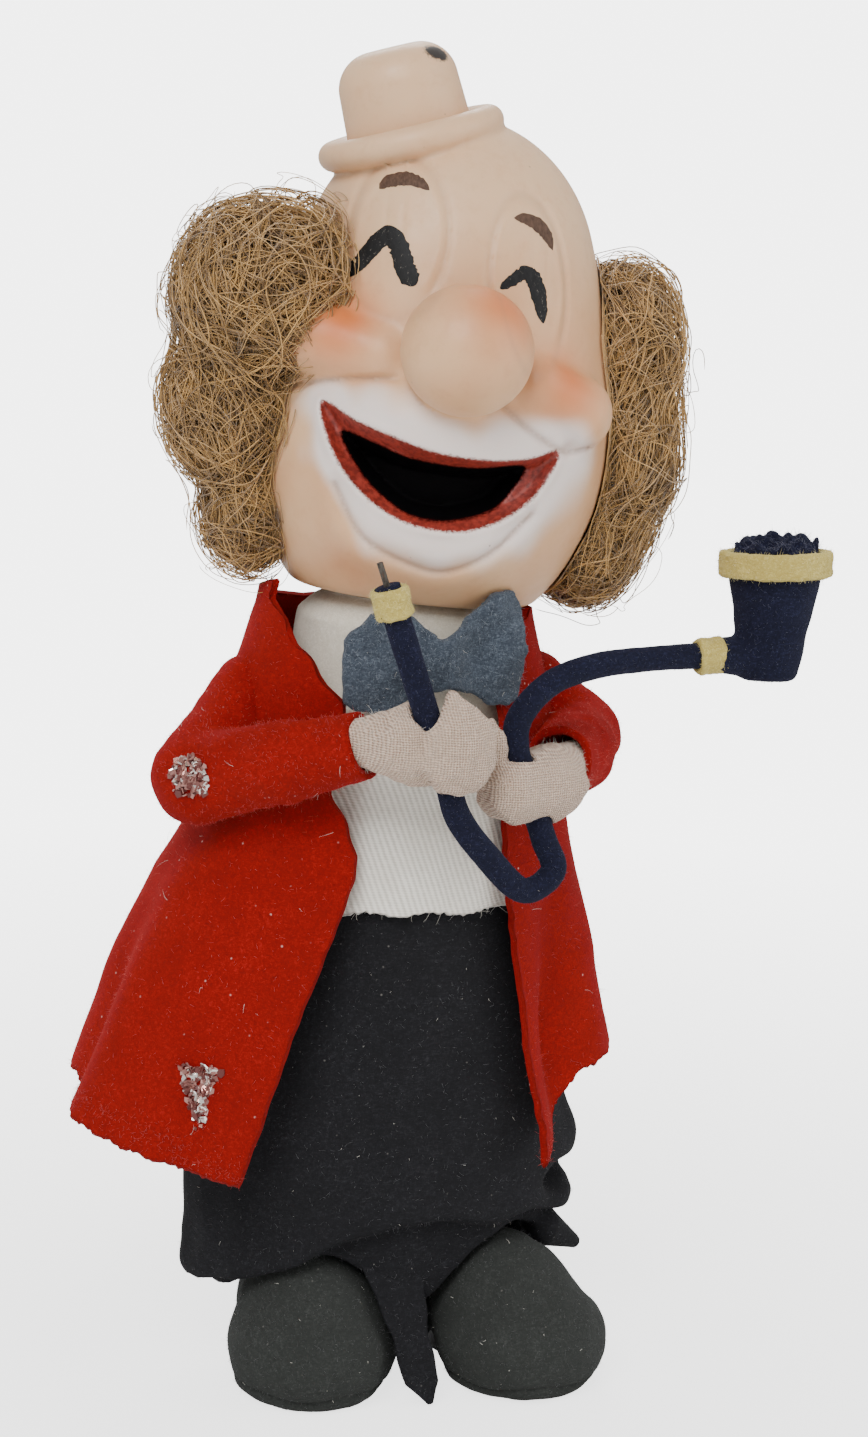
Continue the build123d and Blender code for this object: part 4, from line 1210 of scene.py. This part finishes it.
collar = sheet("felt_collar", ring_grid([
    (128.0, 2.2, 1, 13.4, 13.4), (126.9, 2.2, 1, 15.6, 15.4), (124.8, 1.9, 1, 17.6, 17.0),
    (119, 1.6, 1, 18.2, 17.4), (112, 1.2, 1, 19.0, 18.4), (104, 1, 1, 19.2, 19.2),
], 180, 26, 0.25), 1.0, white_felt, closed=True)
dress(collar, "torso", "white_felt", "collar")
fuzz(collar, "collar_fuzz", pale_lint, 1800, 0.8, 63,
     lambda p: 1.0 * (p[:, 1] < 4) + 0.02, 0.025)


def build_shirt():
    """The satin front: a sheet round the body with a cut, slightly frayed lower edge over the trousers."""
    columns = 260
    grid = ring_grid([
        (108, 1, 0.6, 19.6, 19.6), (98, 0.4, 0.2, 22.0, 20.9), (88, 0, 0, 24.0, 21.9),
        (78.9, 0, 0, 25.6, 22.6),
    ], columns, 27, 0.3)
    angle = np.linspace(0, TAU, columns, endpoint=False)
    rows = np.linspace(0, 1, RING_ROWS)[:, None]
    ragged = Ripple(28, 2.0, 1)((angle * 25)[:, None]) * 0.28 + Ripple(29, 14, 1)((angle * 25)[:, None]) * 0.8
    grid[..., 2] += rows**3 * ragged
    front = np.stack([grid[..., 0], grid[..., 2] * 0.25], -1).reshape(-1, 2)
    pull = Ripple(30, 7, 2)(front).reshape(grid.shape[:2])
    grid[..., 1] -= pull * 0.35 * (grid[..., 1] < 0)
    return sheet("satin_shirt", grid, 0.5, satin, closed=True)


shirt = dress(build_shirt(), "torso", "satin", "shirt_front")
fuzz(shirt, "shirt_threads", pale_lint, 160, 2.2, 64,
     lambda p: bump(p[:, 2] - 79.3, 0.8) * (p[:, 1] < 0) + 1e-4, 0.035)

# The bow's outline seen from the front
TIE_EDGE = smooth_line([
    (-9.9, 129.0), (-5.6, 128.2), (-0.6, 124.4), (3.6, 127.6), (8.0, 131.0), (13.0, 131.4),
    (14.6, 124.6), (14.4, 114.6), (9.8, 113.2), (4.6, 115.6), (-0.9, 116.2), (-5.0, 114.2),
    (-9.6, 111.8), (-15.4, 113.6), (-15.9, 119.6), (-15.2, 124.6), (-12.4, 127.2),
], 6, closed=True)


def build_tie():
    """A cut felt bow: two flat wings pinched in at the middle, a little curled."""
    curl = Ripple(33, 13, 2)
    rough = Ripple(34, 3)

    def field(p):
        q = p[:, [0, 2]]
        pinch = bump(q[:, 0] + 0.4, 4.2)
        sag = -21.9 + 0.012 * (q[:, 0] - 0.5) ** 2 + 1.3 * curl(q) - 1.2 * pinch
        far = loop_distance(q, TIE_EDGE) + 0.35 * rough(p)
        flat = np.abs(p[:, 1] - sag) - 0.9 - 0.12 * rough(p * 0.8)
        return join(np.maximum(far, flat), egg(p, (-0.4, -22.6, 120.2), (3.0, 1.9, 3.8)), 1.2)

    return field_object("felt_bow_tie", tie_felt, field, (-18, -26, 109), (17, -16, 134), 0.8)


tie = dress(build_tie(), "torso", "tie_felt", "bow_tie")
fuzz(tie, "tie_fuzz", tie_lint, 1500, 0.9, 65, None, 0.025)
fuzz(tie, "tie_lint", pale_lint, 60, 1.2, 66, None, 0.03)


# ------------------------------------------------------------------ trousers and shoes

# The heel's and the toe's middle seen from above, and the toe's half width and half length
SHOES = {
    "right": {"heel": (-13.2, 2.0), "toe": (-15.5, -14.4), "size": (14.2, 14.0)},
    "left": {"heel": (13.2, 2.0), "toe": (20.9, -18.2), "size": (14.8, 14.4)},
}


def shoe_form(p, side, shrink=0.0):
    """A fat stuffed shoe: a big round toe, widest low down, a lower heel and a flat underside."""
    spot = SHOES[side]
    toe = egg(p, (*spot["toe"], 2.2), (*spot["size"], 10.8))
    top = egg(p, (spot["toe"][0] * 0.92, spot["toe"][1] + 5.5, 7.5), (11.8, 12.6, 11.8))
    heel = egg(p, (*spot["heel"], 4.0), (10.2, 10.4, 11.5))
    body = join(join(toe, top, 4), heel, 4)
    return body + shrink


def trouser_form(p):
    """The trousers as one full bag that ends in two soft leg openings over the shoes."""
    x, y, z = p.T
    half_x = np.interp(z, [10, 20, 34, 48, 60, 70, 79], [34.2, 35.2, 34.6, 32.0, 29.6, 27.0, 25.0])
    half_y = np.interp(z, [10, 20, 34, 48, 60, 70, 79], [21.0, 22.6, 22.8, 22.4, 22.0, 21.6, 21.0])
    lean = np.where(x > 0, -0.10, 0.02) * np.maximum(40 - z, 0)
    shape = np.hypot((x - lean * 0.6) / half_x, y / half_y)
    near = (shape - 1) * np.minimum(half_x, half_y) * 0.94
    return near


# The front hem's height across the doll
HEM = np.array([
    (-36, 11.2), (-30, 11.0), (-26, 12.2), (-20, 14.0), (-14, 15.0), (-8, 13.2), (-2, 9.0), (3, 9.6),
    (8, 13.8), (14, 16.2), (24, 13.8), (30, 12.6), (38, 12.4),
])


def trouser_field(p):
    """The bag with its creased hem, hollow underneath, and the arches over the shoes."""
    x, y, z = p.T
    body = trouser_form(p)
    # The hem is folded under: a crease sags across each leg, and the cloth below it is set back
    crease = np.where(x < -4, 26.2 + (x + 4) * 0.48, 26.2 - (x + 4) * 0.10)
    crease = crease + 0.6 * np.sin(x * 0.35)
    below = fade(crease - z, -0.6, 1.6) * (y < 6)
    body = body + below * 2.3 - 0.8 * bump(z - crease - 2.2, 2.4) * fade(-y, -6, 4)
    # Waves in the cloth, deeper towards the hem
    wide = Ripple(41, 19)(p) * 0.7 + Ripple(42, 8)(p) * 0.25
    body = body - wide * fade(70 - z, 0, 40)
    # A notch and a stray corner on the doll's left
    body = body + 5.0 * bump(length((p - (29.5, -9, 27.4)) / (1.2, 1.6, 0.55)), 4.0)
    body = body - 1.4 * bump(length(p - (32.5, -3, 33)), 4.5)
    hem = np.interp(x, HEM[:, 0], HEM[:, 1])
    hem = np.where(y > 0, 11.0, hem) + 0.3 * np.sin(x * 0.9)
    body = np.maximum(body, z - 79.4)
    body = -join(-body, z - hem, 1.4)
    # Hollow inside, so the shoes and legs swing freely in it
    hollow = np.maximum(trouser_form(p) + 4.6, z - 34)
    body = cut(body, hollow, 1.5)
    for side in SHOES:
        body = cut(body, shoe_form(p, side, -1.6), 1.2)
    corner = bean(p, (28.6, -8.0, 17.5), (35.4, -5.4, 13.4), 3.4, 1.3)
    return join(body, corner, 2.0)


trousers = field_object("felt_trousers", black_felt, trouser_field, (-41, -28, 6), (41, 28, 81), 1.3)
dress(trousers, "torso", "black_felt", "trousers")
fuzz(trousers, "trouser_fuzz", dark_lint, 7000, 0.8, 71, lambda p: 1.0 * (p[:, 2] < 78), 0.025)
fuzz(trousers, "trouser_lint", pale_lint, 90, 0.7, 72,
     lambda p: 1.0 * (p[:, 1] < 0) + 0.001, 0.035)


def build_strip():
    """The loose pointed strip of felt that hangs between the shoes."""
    spine = smooth_line([
        (-3.0, -16.0, 20), (-1.8, -20.5, 12), (-0.4, -24, 4), (0.4, -25.8, -0.5), (1.8, -26.6, -4.4),
    ], 8)
    wave = Ripple(43, 7, 1)

    def field(p):
        t = np.clip((20 - p[:, 2]) / 24.4, 0, 1)
        centre_x = np.interp(-p[:, 2], -spine[:, 2], spine[:, 0])
        centre_y = np.interp(-p[:, 2], -spine[:, 2], spine[:, 1])
        half = np.interp(t, [0, 0.3, 0.6, 0.86, 1], [6.4, 4.6, 3.4, 3.2, 0.5]) + 0.25 * wave(p[:, 2:3])
        fold = 0.28 * (p[:, 0] - centre_x) * np.sin(t * 3)
        flat = np.abs(p[:, 1] - centre_y - fold) - 0.65
        side = np.abs(p[:, 0] - centre_x) - half
        ends = np.abs(p[:, 2] - 7.8) - 12.5
        return -join(-flat, -np.maximum(side, ends), 0.5)

    return field_object("felt_strip", black_felt, field, (-10, -31, -6), (9, -11, 22), 0.6)


strip = dress(build_strip(), "torso", "black_felt")
fuzz(strip, "strip_fuzz", dark_lint, 300, 0.8, 73, lambda p: 1.0 * (p[:, 2] > -3.6), 0.025)


def build_shoe(side, seed):
    """A stuffed felt shoe with a soft seam line round it and a thin felt sole."""
    spot = SHOES[side]
    dents = Ripple(seed, 12)
    small = Ripple(seed + 1, 5)

    def field(p):
        body = shoe_form(p, side) - 0.45 * dents(p) - 0.12 * small(p)
        seam = FLOOR_Z + 2.7 + 0.5 * np.sin(p[:, 0] * 0.4)
        body = body + 0.5 * bump(p[:, 2] - seam, 0.45) - 0.25 * bump(p[:, 2] - seam + 1.3, 0.8)
        body = np.maximum(body, FLOOR_Z + 0.12 - p[:, 2])
        # A hollow takes the ankle, and the other foot's side stays clear
        ankle = bean(p, (spot["heel"][0], 1, 8), (spot["heel"][0], 1, 30), 5.2)
        body = cut(body, ankle, 1.0)
        middle = p[:, 0] - 0.45 if side == "right" else 0.45 - p[:, 0]
        return -join(-body, -middle, 1.2)

    low = (min(spot["heel"][0], spot["toe"][0]) - 17, -35, FLOOR_Z - 0.6)
    high = (max(spot["heel"][0], spot["toe"][0]) + 17, 16, 22)
    shoe = field_object(f"{side}_felt_shoe", shoe_felt, field, low, high, 1.1)
    return dress(shoe, f"{side}_foot", "black_felt", f"{side}_shoe", f"{side}_sole")


def above_floor(p):
    """1 for places clear of the floor, 0 beside it."""
    return 1.0 * (p[:, 2] > FLOOR_Z + 1.2)


def upper_toe(p):
    """1 on the toes, clear of the floor."""
    return above_floor(p) * (p[:, 1] < -8)


for side, seed in (("right", 81), ("left", 84)):
    shoe = build_shoe(side, seed)
    fuzz(shoe, f"{side}_shoe_fuzz", dark_lint, 2600, 0.7, seed + 1, above_floor, 0.025)
    fuzz(shoe, f"{side}_shoe_lint", pale_lint, 22, 0.7, seed + 2, upper_toe, 0.04)


# ------------------------------------------------------------------ sleeves

def sleeve_field(path, cuff_end, seed):
    """A felt tube along tapering rods, open at the cuff, with cloth wrinkles where it bends."""
    aim = unit(np.array(cuff_end, float) - np.array(path[-2][0], float))
    creases = Ripple(seed, 4.5)
    lumps = Ripple(seed + 1, 12)
    bend = np.array(path[-2][0], float)

    def tube(p, extra):
        whole = bean(p, path[0][0], path[1][0], path[0][1] + extra, path[1][1] + extra)
        for (a, r1), (b, r2) in zip(path[1:], path[2:]):
            whole = join(whole, bean(p, a, b, r1 + extra, r2 + extra), 1.5)
        return whole

    def field(p):
        near_bend = bump(length(p - bend), 9)
        folds = 0.28 * lumps(p) + (0.1 + 0.34 * near_bend) * creases(p)
        outer = tube(p, 0) - folds
        beyond = (p - np.array(cuff_end)) @ aim - 0.25 * creases(p * 0.9)
        outer = np.maximum(outer, beyond)
        inner = np.maximum(tube(p, -1.4) - folds, -(beyond + 7))
        return cut(outer, inner, 0.35)

    return field


# Each sleeve's centre line from shoulder to cuff, with its radius there
RIGHT_SLEEVE = [
    ((-25.5, 0.5, 112.0), 6.4), ((-36.4, -8.6, 99.8), 7.3), ((-26.0, -20.5, 104.4), 6.5),
    ((-15.6, -30.6, 109.0), 5.3),
]
LEFT_SLEEVE = [
    ((25.0, 0.5, 112.0), 6.2), ((32.2, -2.5, 104.4), 7.0), ((27.5, -13.0, 103.4), 6.7),
    ((20.0, -24.6, 104.4), 5.6),
]


def build_sleeve(name, path, seed):
    centres = np.array([c for c, _ in path])
    low, high = centres.min(0) - 9, centres.max(0) + 9
    return field_object(name, red_felt, sleeve_field(path, path[-1][0], seed), low, high, 0.75)


def bend_at_elbow(obj):
    """Bakes the piece's placement into its mesh; the places round the right elbow are worked out but not used, so
    the cloth is not bent.
    """
    start, end = ((np.array(place) + SHIFT) * MM for place in ((-38, -3, 99), (-38, -16, 99)))
    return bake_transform(obj)


right_sleeve = build_sleeve("right_felt_sleeve", RIGHT_SLEEVE, 91)
right_sleeve_fuzz = fuzz(right_sleeve, "right_sleeve_fuzz", red_lint, 2600, 0.85, 93, None, 0.028)
right_sleeve_lint = fuzz(right_sleeve, "right_sleeve_lint", pale_lint, 26, 2.0, 94, None, 0.03)
for piece in (right_sleeve_fuzz, right_sleeve_lint):
    piece.parent = None
    bend_at_elbow(piece)
bend_at_elbow(right_sleeve)
dress(right_sleeve, None, "red_felt", "right_upper_sleeve", "right_forearm_sleeve")
left_felt_sleeve = build_sleeve("left_felt_sleeve", LEFT_SLEEVE, 95)
dress(left_felt_sleeve, "left_arm", "red_felt", "left_sleeve")
fuzz(left_felt_sleeve, "left_sleeve_fuzz", red_lint, 2000, 0.85, 97, None, 0.028)


# ------------------------------------------------------------------ hands

STEM_UP = joint_axis("pipe_slide")
RIGHT_GRIP = np.array([-6.5, -39.0, 110.0])
LEFT_GRIP = np.array([10.8, -34.0, 103.0])
STEM_RADIUS = 2.1
STEM_SIDES = 22


def stem_channel(p, grip, radius):
    """Distance to the straight stem through a fist."""
    q = p - grip
    return length(q - (q @ STEM_UP)[:, None] * STEM_UP) - radius


def right_fist(p):
    """The doll's right mitten: a wound wrist and palm, and a rolled lobe of fingers over the stem."""
    wrinkles = Ripple(101, 3.2)(p) * 0.22 + Ripple(102, 7)(p) * 0.32
    wrist = bean(p, (-18.6, -29.2, 109.3), (-10.8, -35.4, 110.2), 2.9, 5.7)
    palm = egg(p, (-8.2, -36.4, 110.2), (6.0, 5.4, 6.6))
    back = join(wrist, palm, 2.0)
    fingers = egg(p, (-3.7, -40.6, 109.6), (6.3, 4.9, 6.9))
    knuckle = bean(p, (-1.6, -39.6, 113.0), (-3.8, -40.4, 115.4), 3.1, 2.5)
    thumb = bean(p, (-3.4, -40.2, 114.2), (-4.4, -40.0, 117.6), 2.4, 1.5)
    front = join(join(fingers, knuckle, 2.0), thumb, 1.0)
    flap = smooth_line([
        (-10.2, -41.2, 112.4), (-9.0, -42.2, 108.4), (-5.4, -43.4, 105.4), (-0.6, -43.0, 104.0),
    ], 6)
    body = join(back, front, 0.7) - wrinkles + 0.35 * bump(line_distance(p, flap), 0.5)
    channel = stem_channel(p, RIGHT_GRIP, STEM_RADIUS + 0.2)
    release = np.array([1, 1, 0]) / math.sqrt(2)
    q = p - RIGHT_GRIP
    q = q - (q @ STEM_UP)[:, None] * STEM_UP
    sideways = np.cross(STEM_UP, release)
    slot = np.maximum(np.abs(q @ sideways) - STEM_RADIUS - 0.2, -(q @ release))
    return cut(cut(body, channel, 0.4), slot, 0.4)


def left_fist(p):
    """The doll's left mitten: a wound wrist that curls in front of the stem, with the thumb behind it."""
    wrinkles = Ripple(103, 3.2)(p) * 0.22 + Ripple(104, 7)(p) * 0.32
    wrist = bean(p, (23.6, -22.6, 104.4), (17.0, -28.4, 102.4), 2.8, 5.7)
    mitten = bean(p, (15.5, -31.6, 101.9), (8.0, -34.4, 102.0), 5.9, 5.4)
    thumb = egg(p, (5.0, -33.6, 108.2), (3.0, 2.5, 5.4))
    crease = smooth_line([(5.4, -38.4, 103.4), (6.6, -39.2, 106.0), (10.0, -38.6, 107.0)], 6)
    body = join(join(wrist, mitten, 2.5), thumb, 0.9) - wrinkles
    body = body + 0.35 * bump(line_distance(p, crease), 0.5)
    return cut(body, stem_channel(p, LEFT_GRIP, STEM_RADIUS + 0.08), 0.3)


def build_hand(name, form, low, high, body, node, seed, cuff):
    hand = field_object(name, crepe, form, low, high, 0.8)
    dress(hand, body, "crepe", node)
    fuzz(hand, f"{name}_fuzz", pale_lint, 700, 0.5, seed, None, 0.02)
    fuzz(hand, f"{name}_cuff", pale_lint, 260, 1.2, seed + 1,
         lambda p: bump(length(p - np.array(cuff)), 6.5) + 1e-4, 0.03)


build_hand("right_crepe_hand", right_fist, (-24, -47, 101), (5, -23, 121),
           "right_forearm", "right_hand", 105, (-17.4, -31, 109))
build_hand("left_crepe_hand", left_fist, (-1, -42, 93), (30, -17, 116),
           "left_arm", "left_hand", 107, (21.5, -24.6, 103.6))


# ------------------------------------------------------------------ pipe

# The stem runs straight down through the right fist, loops under the hands, comes straight up through
# the left one and bends over to the bowl
STEM_LINE = smooth_line([
    *(RIGHT_GRIP + up * STEM_UP for up in (27.0, 18.0, 8.0, 0.0, -6.0, -12.0)),
    (2.6, -38.0, 92.6), (10.2, -36.0, 85.8), (15.9, -34.6, 88.4),
    *(LEFT_GRIP + up * STEM_UP for up in (-10.0, -4.0, 0.0, 6.0)),
    (9.6, -33.0, 113.6), (15.2, -31.6, 118.6), (23.5, -29.8, 120.9),
    (33.0, -27.8, 121.5), (42.6, -26.0, 121.6), (50.0, -26.0, 121.6),
], 12)
BOWL = np.array([56.3, -26.0])


def build_stem():
    """The felt-covered stem, slightly uneven along its length."""
    path = STEM_LINE[None]
    uneven = Ripple(111, 9)(STEM_LINE) * 0.06 + Ripple(112, 3)(STEM_LINE) * 0.03
    points, faces = tubes(path, (STEM_RADIUS + uneven)[None], STEM_SIDES)
    ends = [list(range(STEM_SIDES))[::-1], list(range(len(points) - STEM_SIDES, len(points)))]
    stem = mesh_object("felt_stem", points, list(map(list, faces)) + ends, navy_felt)
    dress(stem, "pipe", "navy_felt", "pipe_stem")
    fuzz(stem, "stem_fuzz", navy_lint, 2600, 0.55, 113, None, 0.022)
    fuzz(stem, "stem_lint", pale_lint, 26, 0.5, 114, None, 0.03)


def ring_band(centre, aim, radius, inner, half, seed):
    """A lumpy wrapped ring of felt round an axis."""
    centre, aim = np.array(centre, float), unit(np.array(aim, float))
    lumps = Ripple(seed, 2.6)
    fine = Ripple(seed + 1, 1.2)

    def field(p):
        q = p - centre
        along = q @ aim
        reach = length(q - along[:, None] * aim)
        wall = (radius - inner) / 2
        shape = np.stack([np.abs(reach - inner - wall) - wall + 0.6, np.abs(along) - half + 0.6], 1)
        rounded = length(np.maximum(shape, 0)) + np.minimum(shape.max(1), 0) - 0.6
        return rounded - 0.16 * lumps(p) - 0.06 * fine(p)

    return field


def build_band(name, node, centre, aim, radius, inner, half, seed, count):
    centre = np.array(centre, float)
    wrap = ring_band(centre, aim, radius, inner, half, seed)
    room = radius + 1.5
    band = field_object(name, yellow_felt, wrap, centre - room, centre + room, 0.55)
    dress(band, "pipe", "yellow_felt", node)
    fuzz(band, f"{name}_fuzz", yellow_lint, count, 0.7, seed + 2, None, 0.025)


def bowl_field(p):
    """The bowl: a cone of wrapped felt with a rounded foot and a hollow top."""
    q = p[:, :2] - BOWL
    reach = length(q)
    z = p[:, 2]
    side = np.interp(z, [116, 119, 122, 139], [4.3, 4.9, 5.3, 8.4])
    lumps = Ripple(121, 5)(p) * 0.14
    wall = (reach - side) * 0.97
    body = -join(-wall, -np.maximum(117.6 - z, z - 137.8), 1.3)
    hollow = np.maximum(reach - side + 1.5, 132 - z)
    body = cut(body, hollow, 0.5)
    socket = bean(p, (46.5, -26, 121.6), (56, -26, 121.6), 2.9, 4.0)
    return join(body, socket, 1.6) - lumps


def filling_field(p):
    """A frayed plug of navy felt pushed into the bowl, higher at the back."""
    q = p[:, :2] - BOWL
    reach = length(q)
    tufts = 1.3 * Ripple(123, 4.2, 2)(q) + 0.5 * Ripple(124, 1.7, 2)(q)
    top = 140.4 + tufts + 0.10 * q[:, 0] + 0.06 * q[:, 1]
    return -join(-(reach - 6.9), -np.maximum(p[:, 2] - top, 133 - p[:, 2]), 0.8)


def build_pipe():
    build_stem()
    mouth = RIGHT_GRIP + 24.3 * STEM_UP
    build_band("mouthpiece_ring", "mouthpiece_band", mouth, STEM_UP + (0.1, 0, 0), 3.0, 1.9, 2.4, 131, 420)
    build_band("shank_ring", "shank_band", (45.3, -26, 121.6), (1, 0, 0.05), 3.05, 1.9, 2.35, 134, 420)
    build_band("rim_ring", "rim_band", (*BOWL, 136.9), (-0.03, 0.05, 1), 9.4, 7.5, 2.1, 137, 1300)
    bowl = field_object("felt_bowl", navy_felt, bowl_field, (42, -36, 115), (67, -16, 140), 0.8)
    dress(bowl, "pipe", "navy_felt", "pipe_bowl")
    fuzz(bowl, "bowl_fuzz", navy_lint, 1500, 0.6, 141, None, 0.022)
    filling = field_object("felt_filling", navy_felt, filling_field, (48, -35, 132), (65, -17, 145), 0.6)
    dress(filling, "pipe", "navy_felt", "bowl_filling")
    fuzz(filling, "filling_fuzz", navy_lint, 1200, 1.1, 143,
         lambda p: 1.0 * (p[:, 2] > 136), 0.03)


build_pipe()


# ------------------------------------------------------------------ glitter patches

def flake_patch(name, base, outline, aim, count, size, seed):
    """A crust of little flakes stuck on the cloth base: outline is a point and a loop round it, along aim."""
    rng = np.random.default_rng(seed)
    centre, loop = outline
    aim = unit(np.array(aim, float))
    side = unit(np.cross((0, 0, 1), aim))
    up = np.cross(aim, side)
    span = np.abs(np.array(loop)).max()
    flat = rng.uniform(-span, span, (count * 14, 2))
    edge = loop_distance(flat, np.array(loop, float)) + rng.normal(size=len(flat)) * 0.25
    flat = flat[edge < 0][:count]
    tree = BVHTree.FromObject(base, bpy.context.evaluated_depsgraph_get())
    points, faces, tones = [], [], []
    for x, y in flat:
        start = (np.array(centre) + side * x + up * y - aim * 25 + SHIFT) * MM
        place, normal, _, _ = tree.ray_cast(Vector(start), Vector(aim))
        if place is None:
            continue
        place, normal = np.array(place) / MM - SHIFT, np.array(normal)
        tilt = unit(normal + rng.normal(size=3) * 0.55)
        a = unit(np.cross(tilt, rng.normal(size=3)))
        b = np.cross(tilt, a)
        corners = rng.integers(4, 7)
        turn = np.arange(corners) * TAU / corners
        reach = size * rng.uniform(0.6, 1.2, (corners, 1)) * (0.6 + 0.8 * rng.random())
        rise = place + normal * rng.uniform(0.12, 0.5)
        rim = rise + (a * np.cos(turn)[:, None] + b * np.sin(turn)[:, None]) * reach
        low = rim - tilt * 0.22
        first = len(points)
        points.extend(rim)
        points.extend(low)
        faces.append([first + k for k in range(corners)])
        faces.append([first + corners + k for k in range(corners)][::-1])
        for k in range(corners):
            m = (k + 1) % corners
            faces.append([first + k, first + corners + k, first + corners + m, first + m])
        tones.extend([rng.random()] * (2 * corners))
    patch = mesh_object(name, np.array(points), faces, glitter, smooth=False)
    store(patch, "flake", tones)
    return patch


round_about = np.linspace(0, TAU, 16, endpoint=False)
DISC = [(3.1 * math.cos(a) + 0.3 * math.sin(3 * a), 3.0 * math.sin(a)) for a in round_about]
WEDGE = [
    (-2.8, 4.6), (-0.9, 5.2), (1.2, 4.7), (3.1, 4.9), (3.4, 3.2), (2.2, 0.6), (1.3, -2.6), (0.2, -5.0),
    (-0.9, -4.2), (-1.1, -1.2), (-2.0, 1.6),
]
# The patches are pressed on along this line, from the doll's front right
FROM_FRONT = (0.33, 0.92, -0.18)
ELBOW_SPOT = ((-39.4, -14.5, 101.4), DISC)
COAT_SPOT = ((-38.8, -23.5, 50.2), WEDGE)
elbow_patch = flake_patch("elbow_flakes", right_sleeve, ELBOW_SPOT, FROM_FRONT, 150, 0.62, 151)
dress(elbow_patch, "right_forearm", "glitter", "elbow_glitter_patch")
coat_patch = flake_patch("coat_flakes", coat, COAT_SPOT, FROM_FRONT, 170, 0.62, 153)
dress(coat_patch, "torso", "glitter", "coat_glitter_patch")


# ------------------------------------------------------------------ stage

def build_stage():
    """A pale floor and soft light from above and both sides."""
    bpy.ops.mesh.primitive_plane_add(size=6, location=(0, 0, -0.0002))
    floor = bpy.context.object
    floor.name = "floor"
    floor.data.materials.append(floor_paper())
    sky = bpy.data.worlds.new("soft_sky")
    sky.use_nodes = True
    backdrop = sky.node_tree.nodes["Background"]
    backdrop.inputs["Color"].default_value = srgb(255, 255, 255)
    seen = sky.node_tree.nodes.new("ShaderNodeLightPath")
    strength = sky.node_tree.nodes.new("ShaderNodeMapRange")
    strength.inputs["To Min"].default_value = 0.7
    strength.inputs["To Max"].default_value = BACKDROP
    sky.node_tree.links.new(seen.outputs["Is Camera Ray"], strength.inputs["Value"])
    sky.node_tree.links.new(strength.outputs[0], backdrop.inputs["Strength"])
    bpy.context.scene.world = sky
    lamps = {
        "key": ((-0.55, -0.75, 0.95), 0.6, 13.5),
        "fill": ((0.9, -0.6, 0.5), 0.8, 4.5),
        "rim": ((0.2, 0.9, 0.9), 0.6, 7.0),
    }
    target = Vector((0, 0, 0.11))
    for name, (place, size, power) in lamps.items():
        light = bpy.data.lights.new(name, "AREA")
        light.size = size
        light.energy = power
        lamp = bpy.data.objects.new(name, light)
        lamp.location = place
        lamp.rotation_mode = "QUATERNION"
        lamp.rotation_quaternion = (target - lamp.location).to_track_quat("-Z", "Y")
        bpy.context.scene.collection.objects.link(lamp)


CAMERA_AZIMUTH = math.radians(-20)
CAMERA_ELEVATION = math.radians(10.5)
CAMERA_ROLL = math.radians(2.5)
CAMERA_DISTANCE = 490.0
CAMERA_AIM = np.array([7.0, 0.0, 107.0])
CAMERA_LENS = 72.4
SENSOR = 36.0


def build_camera():
    """A camera near head height, a little to the doll's right, rolled slightly."""
    a, e, r = CAMERA_AZIMUTH, CAMERA_ELEVATION, CAMERA_ROLL
    back = np.array([math.sin(a) * math.cos(e), -math.cos(a) * math.cos(e), math.sin(e)])
    right = np.array([math.cos(a), math.sin(a), 0.0])
    up = np.cross(back, right)
    right, up = right * math.cos(r) + up * math.sin(r), up * math.cos(r) - right * math.sin(r)
    place = (CAMERA_AIM + SHIFT + CAMERA_DISTANCE * back) * MM
    camera = bpy.data.objects.new("camera", bpy.data.cameras.new("camera"))
    camera.data.lens = CAMERA_LENS
    camera.data.sensor_width = SENSOR
    camera.data.clip_start = 0.01
    turn = Vector(right), Vector(up), Vector(back)
    matrix = [[turn[c][row] for c in range(3)] + [place[row]] for row in range(3)] + [[0, 0, 0, 1]]
    camera.matrix_world = Matrix(matrix)
    bpy.context.scene.collection.objects.link(camera)
    bpy.context.scene.camera = camera


build_stage()
build_camera()
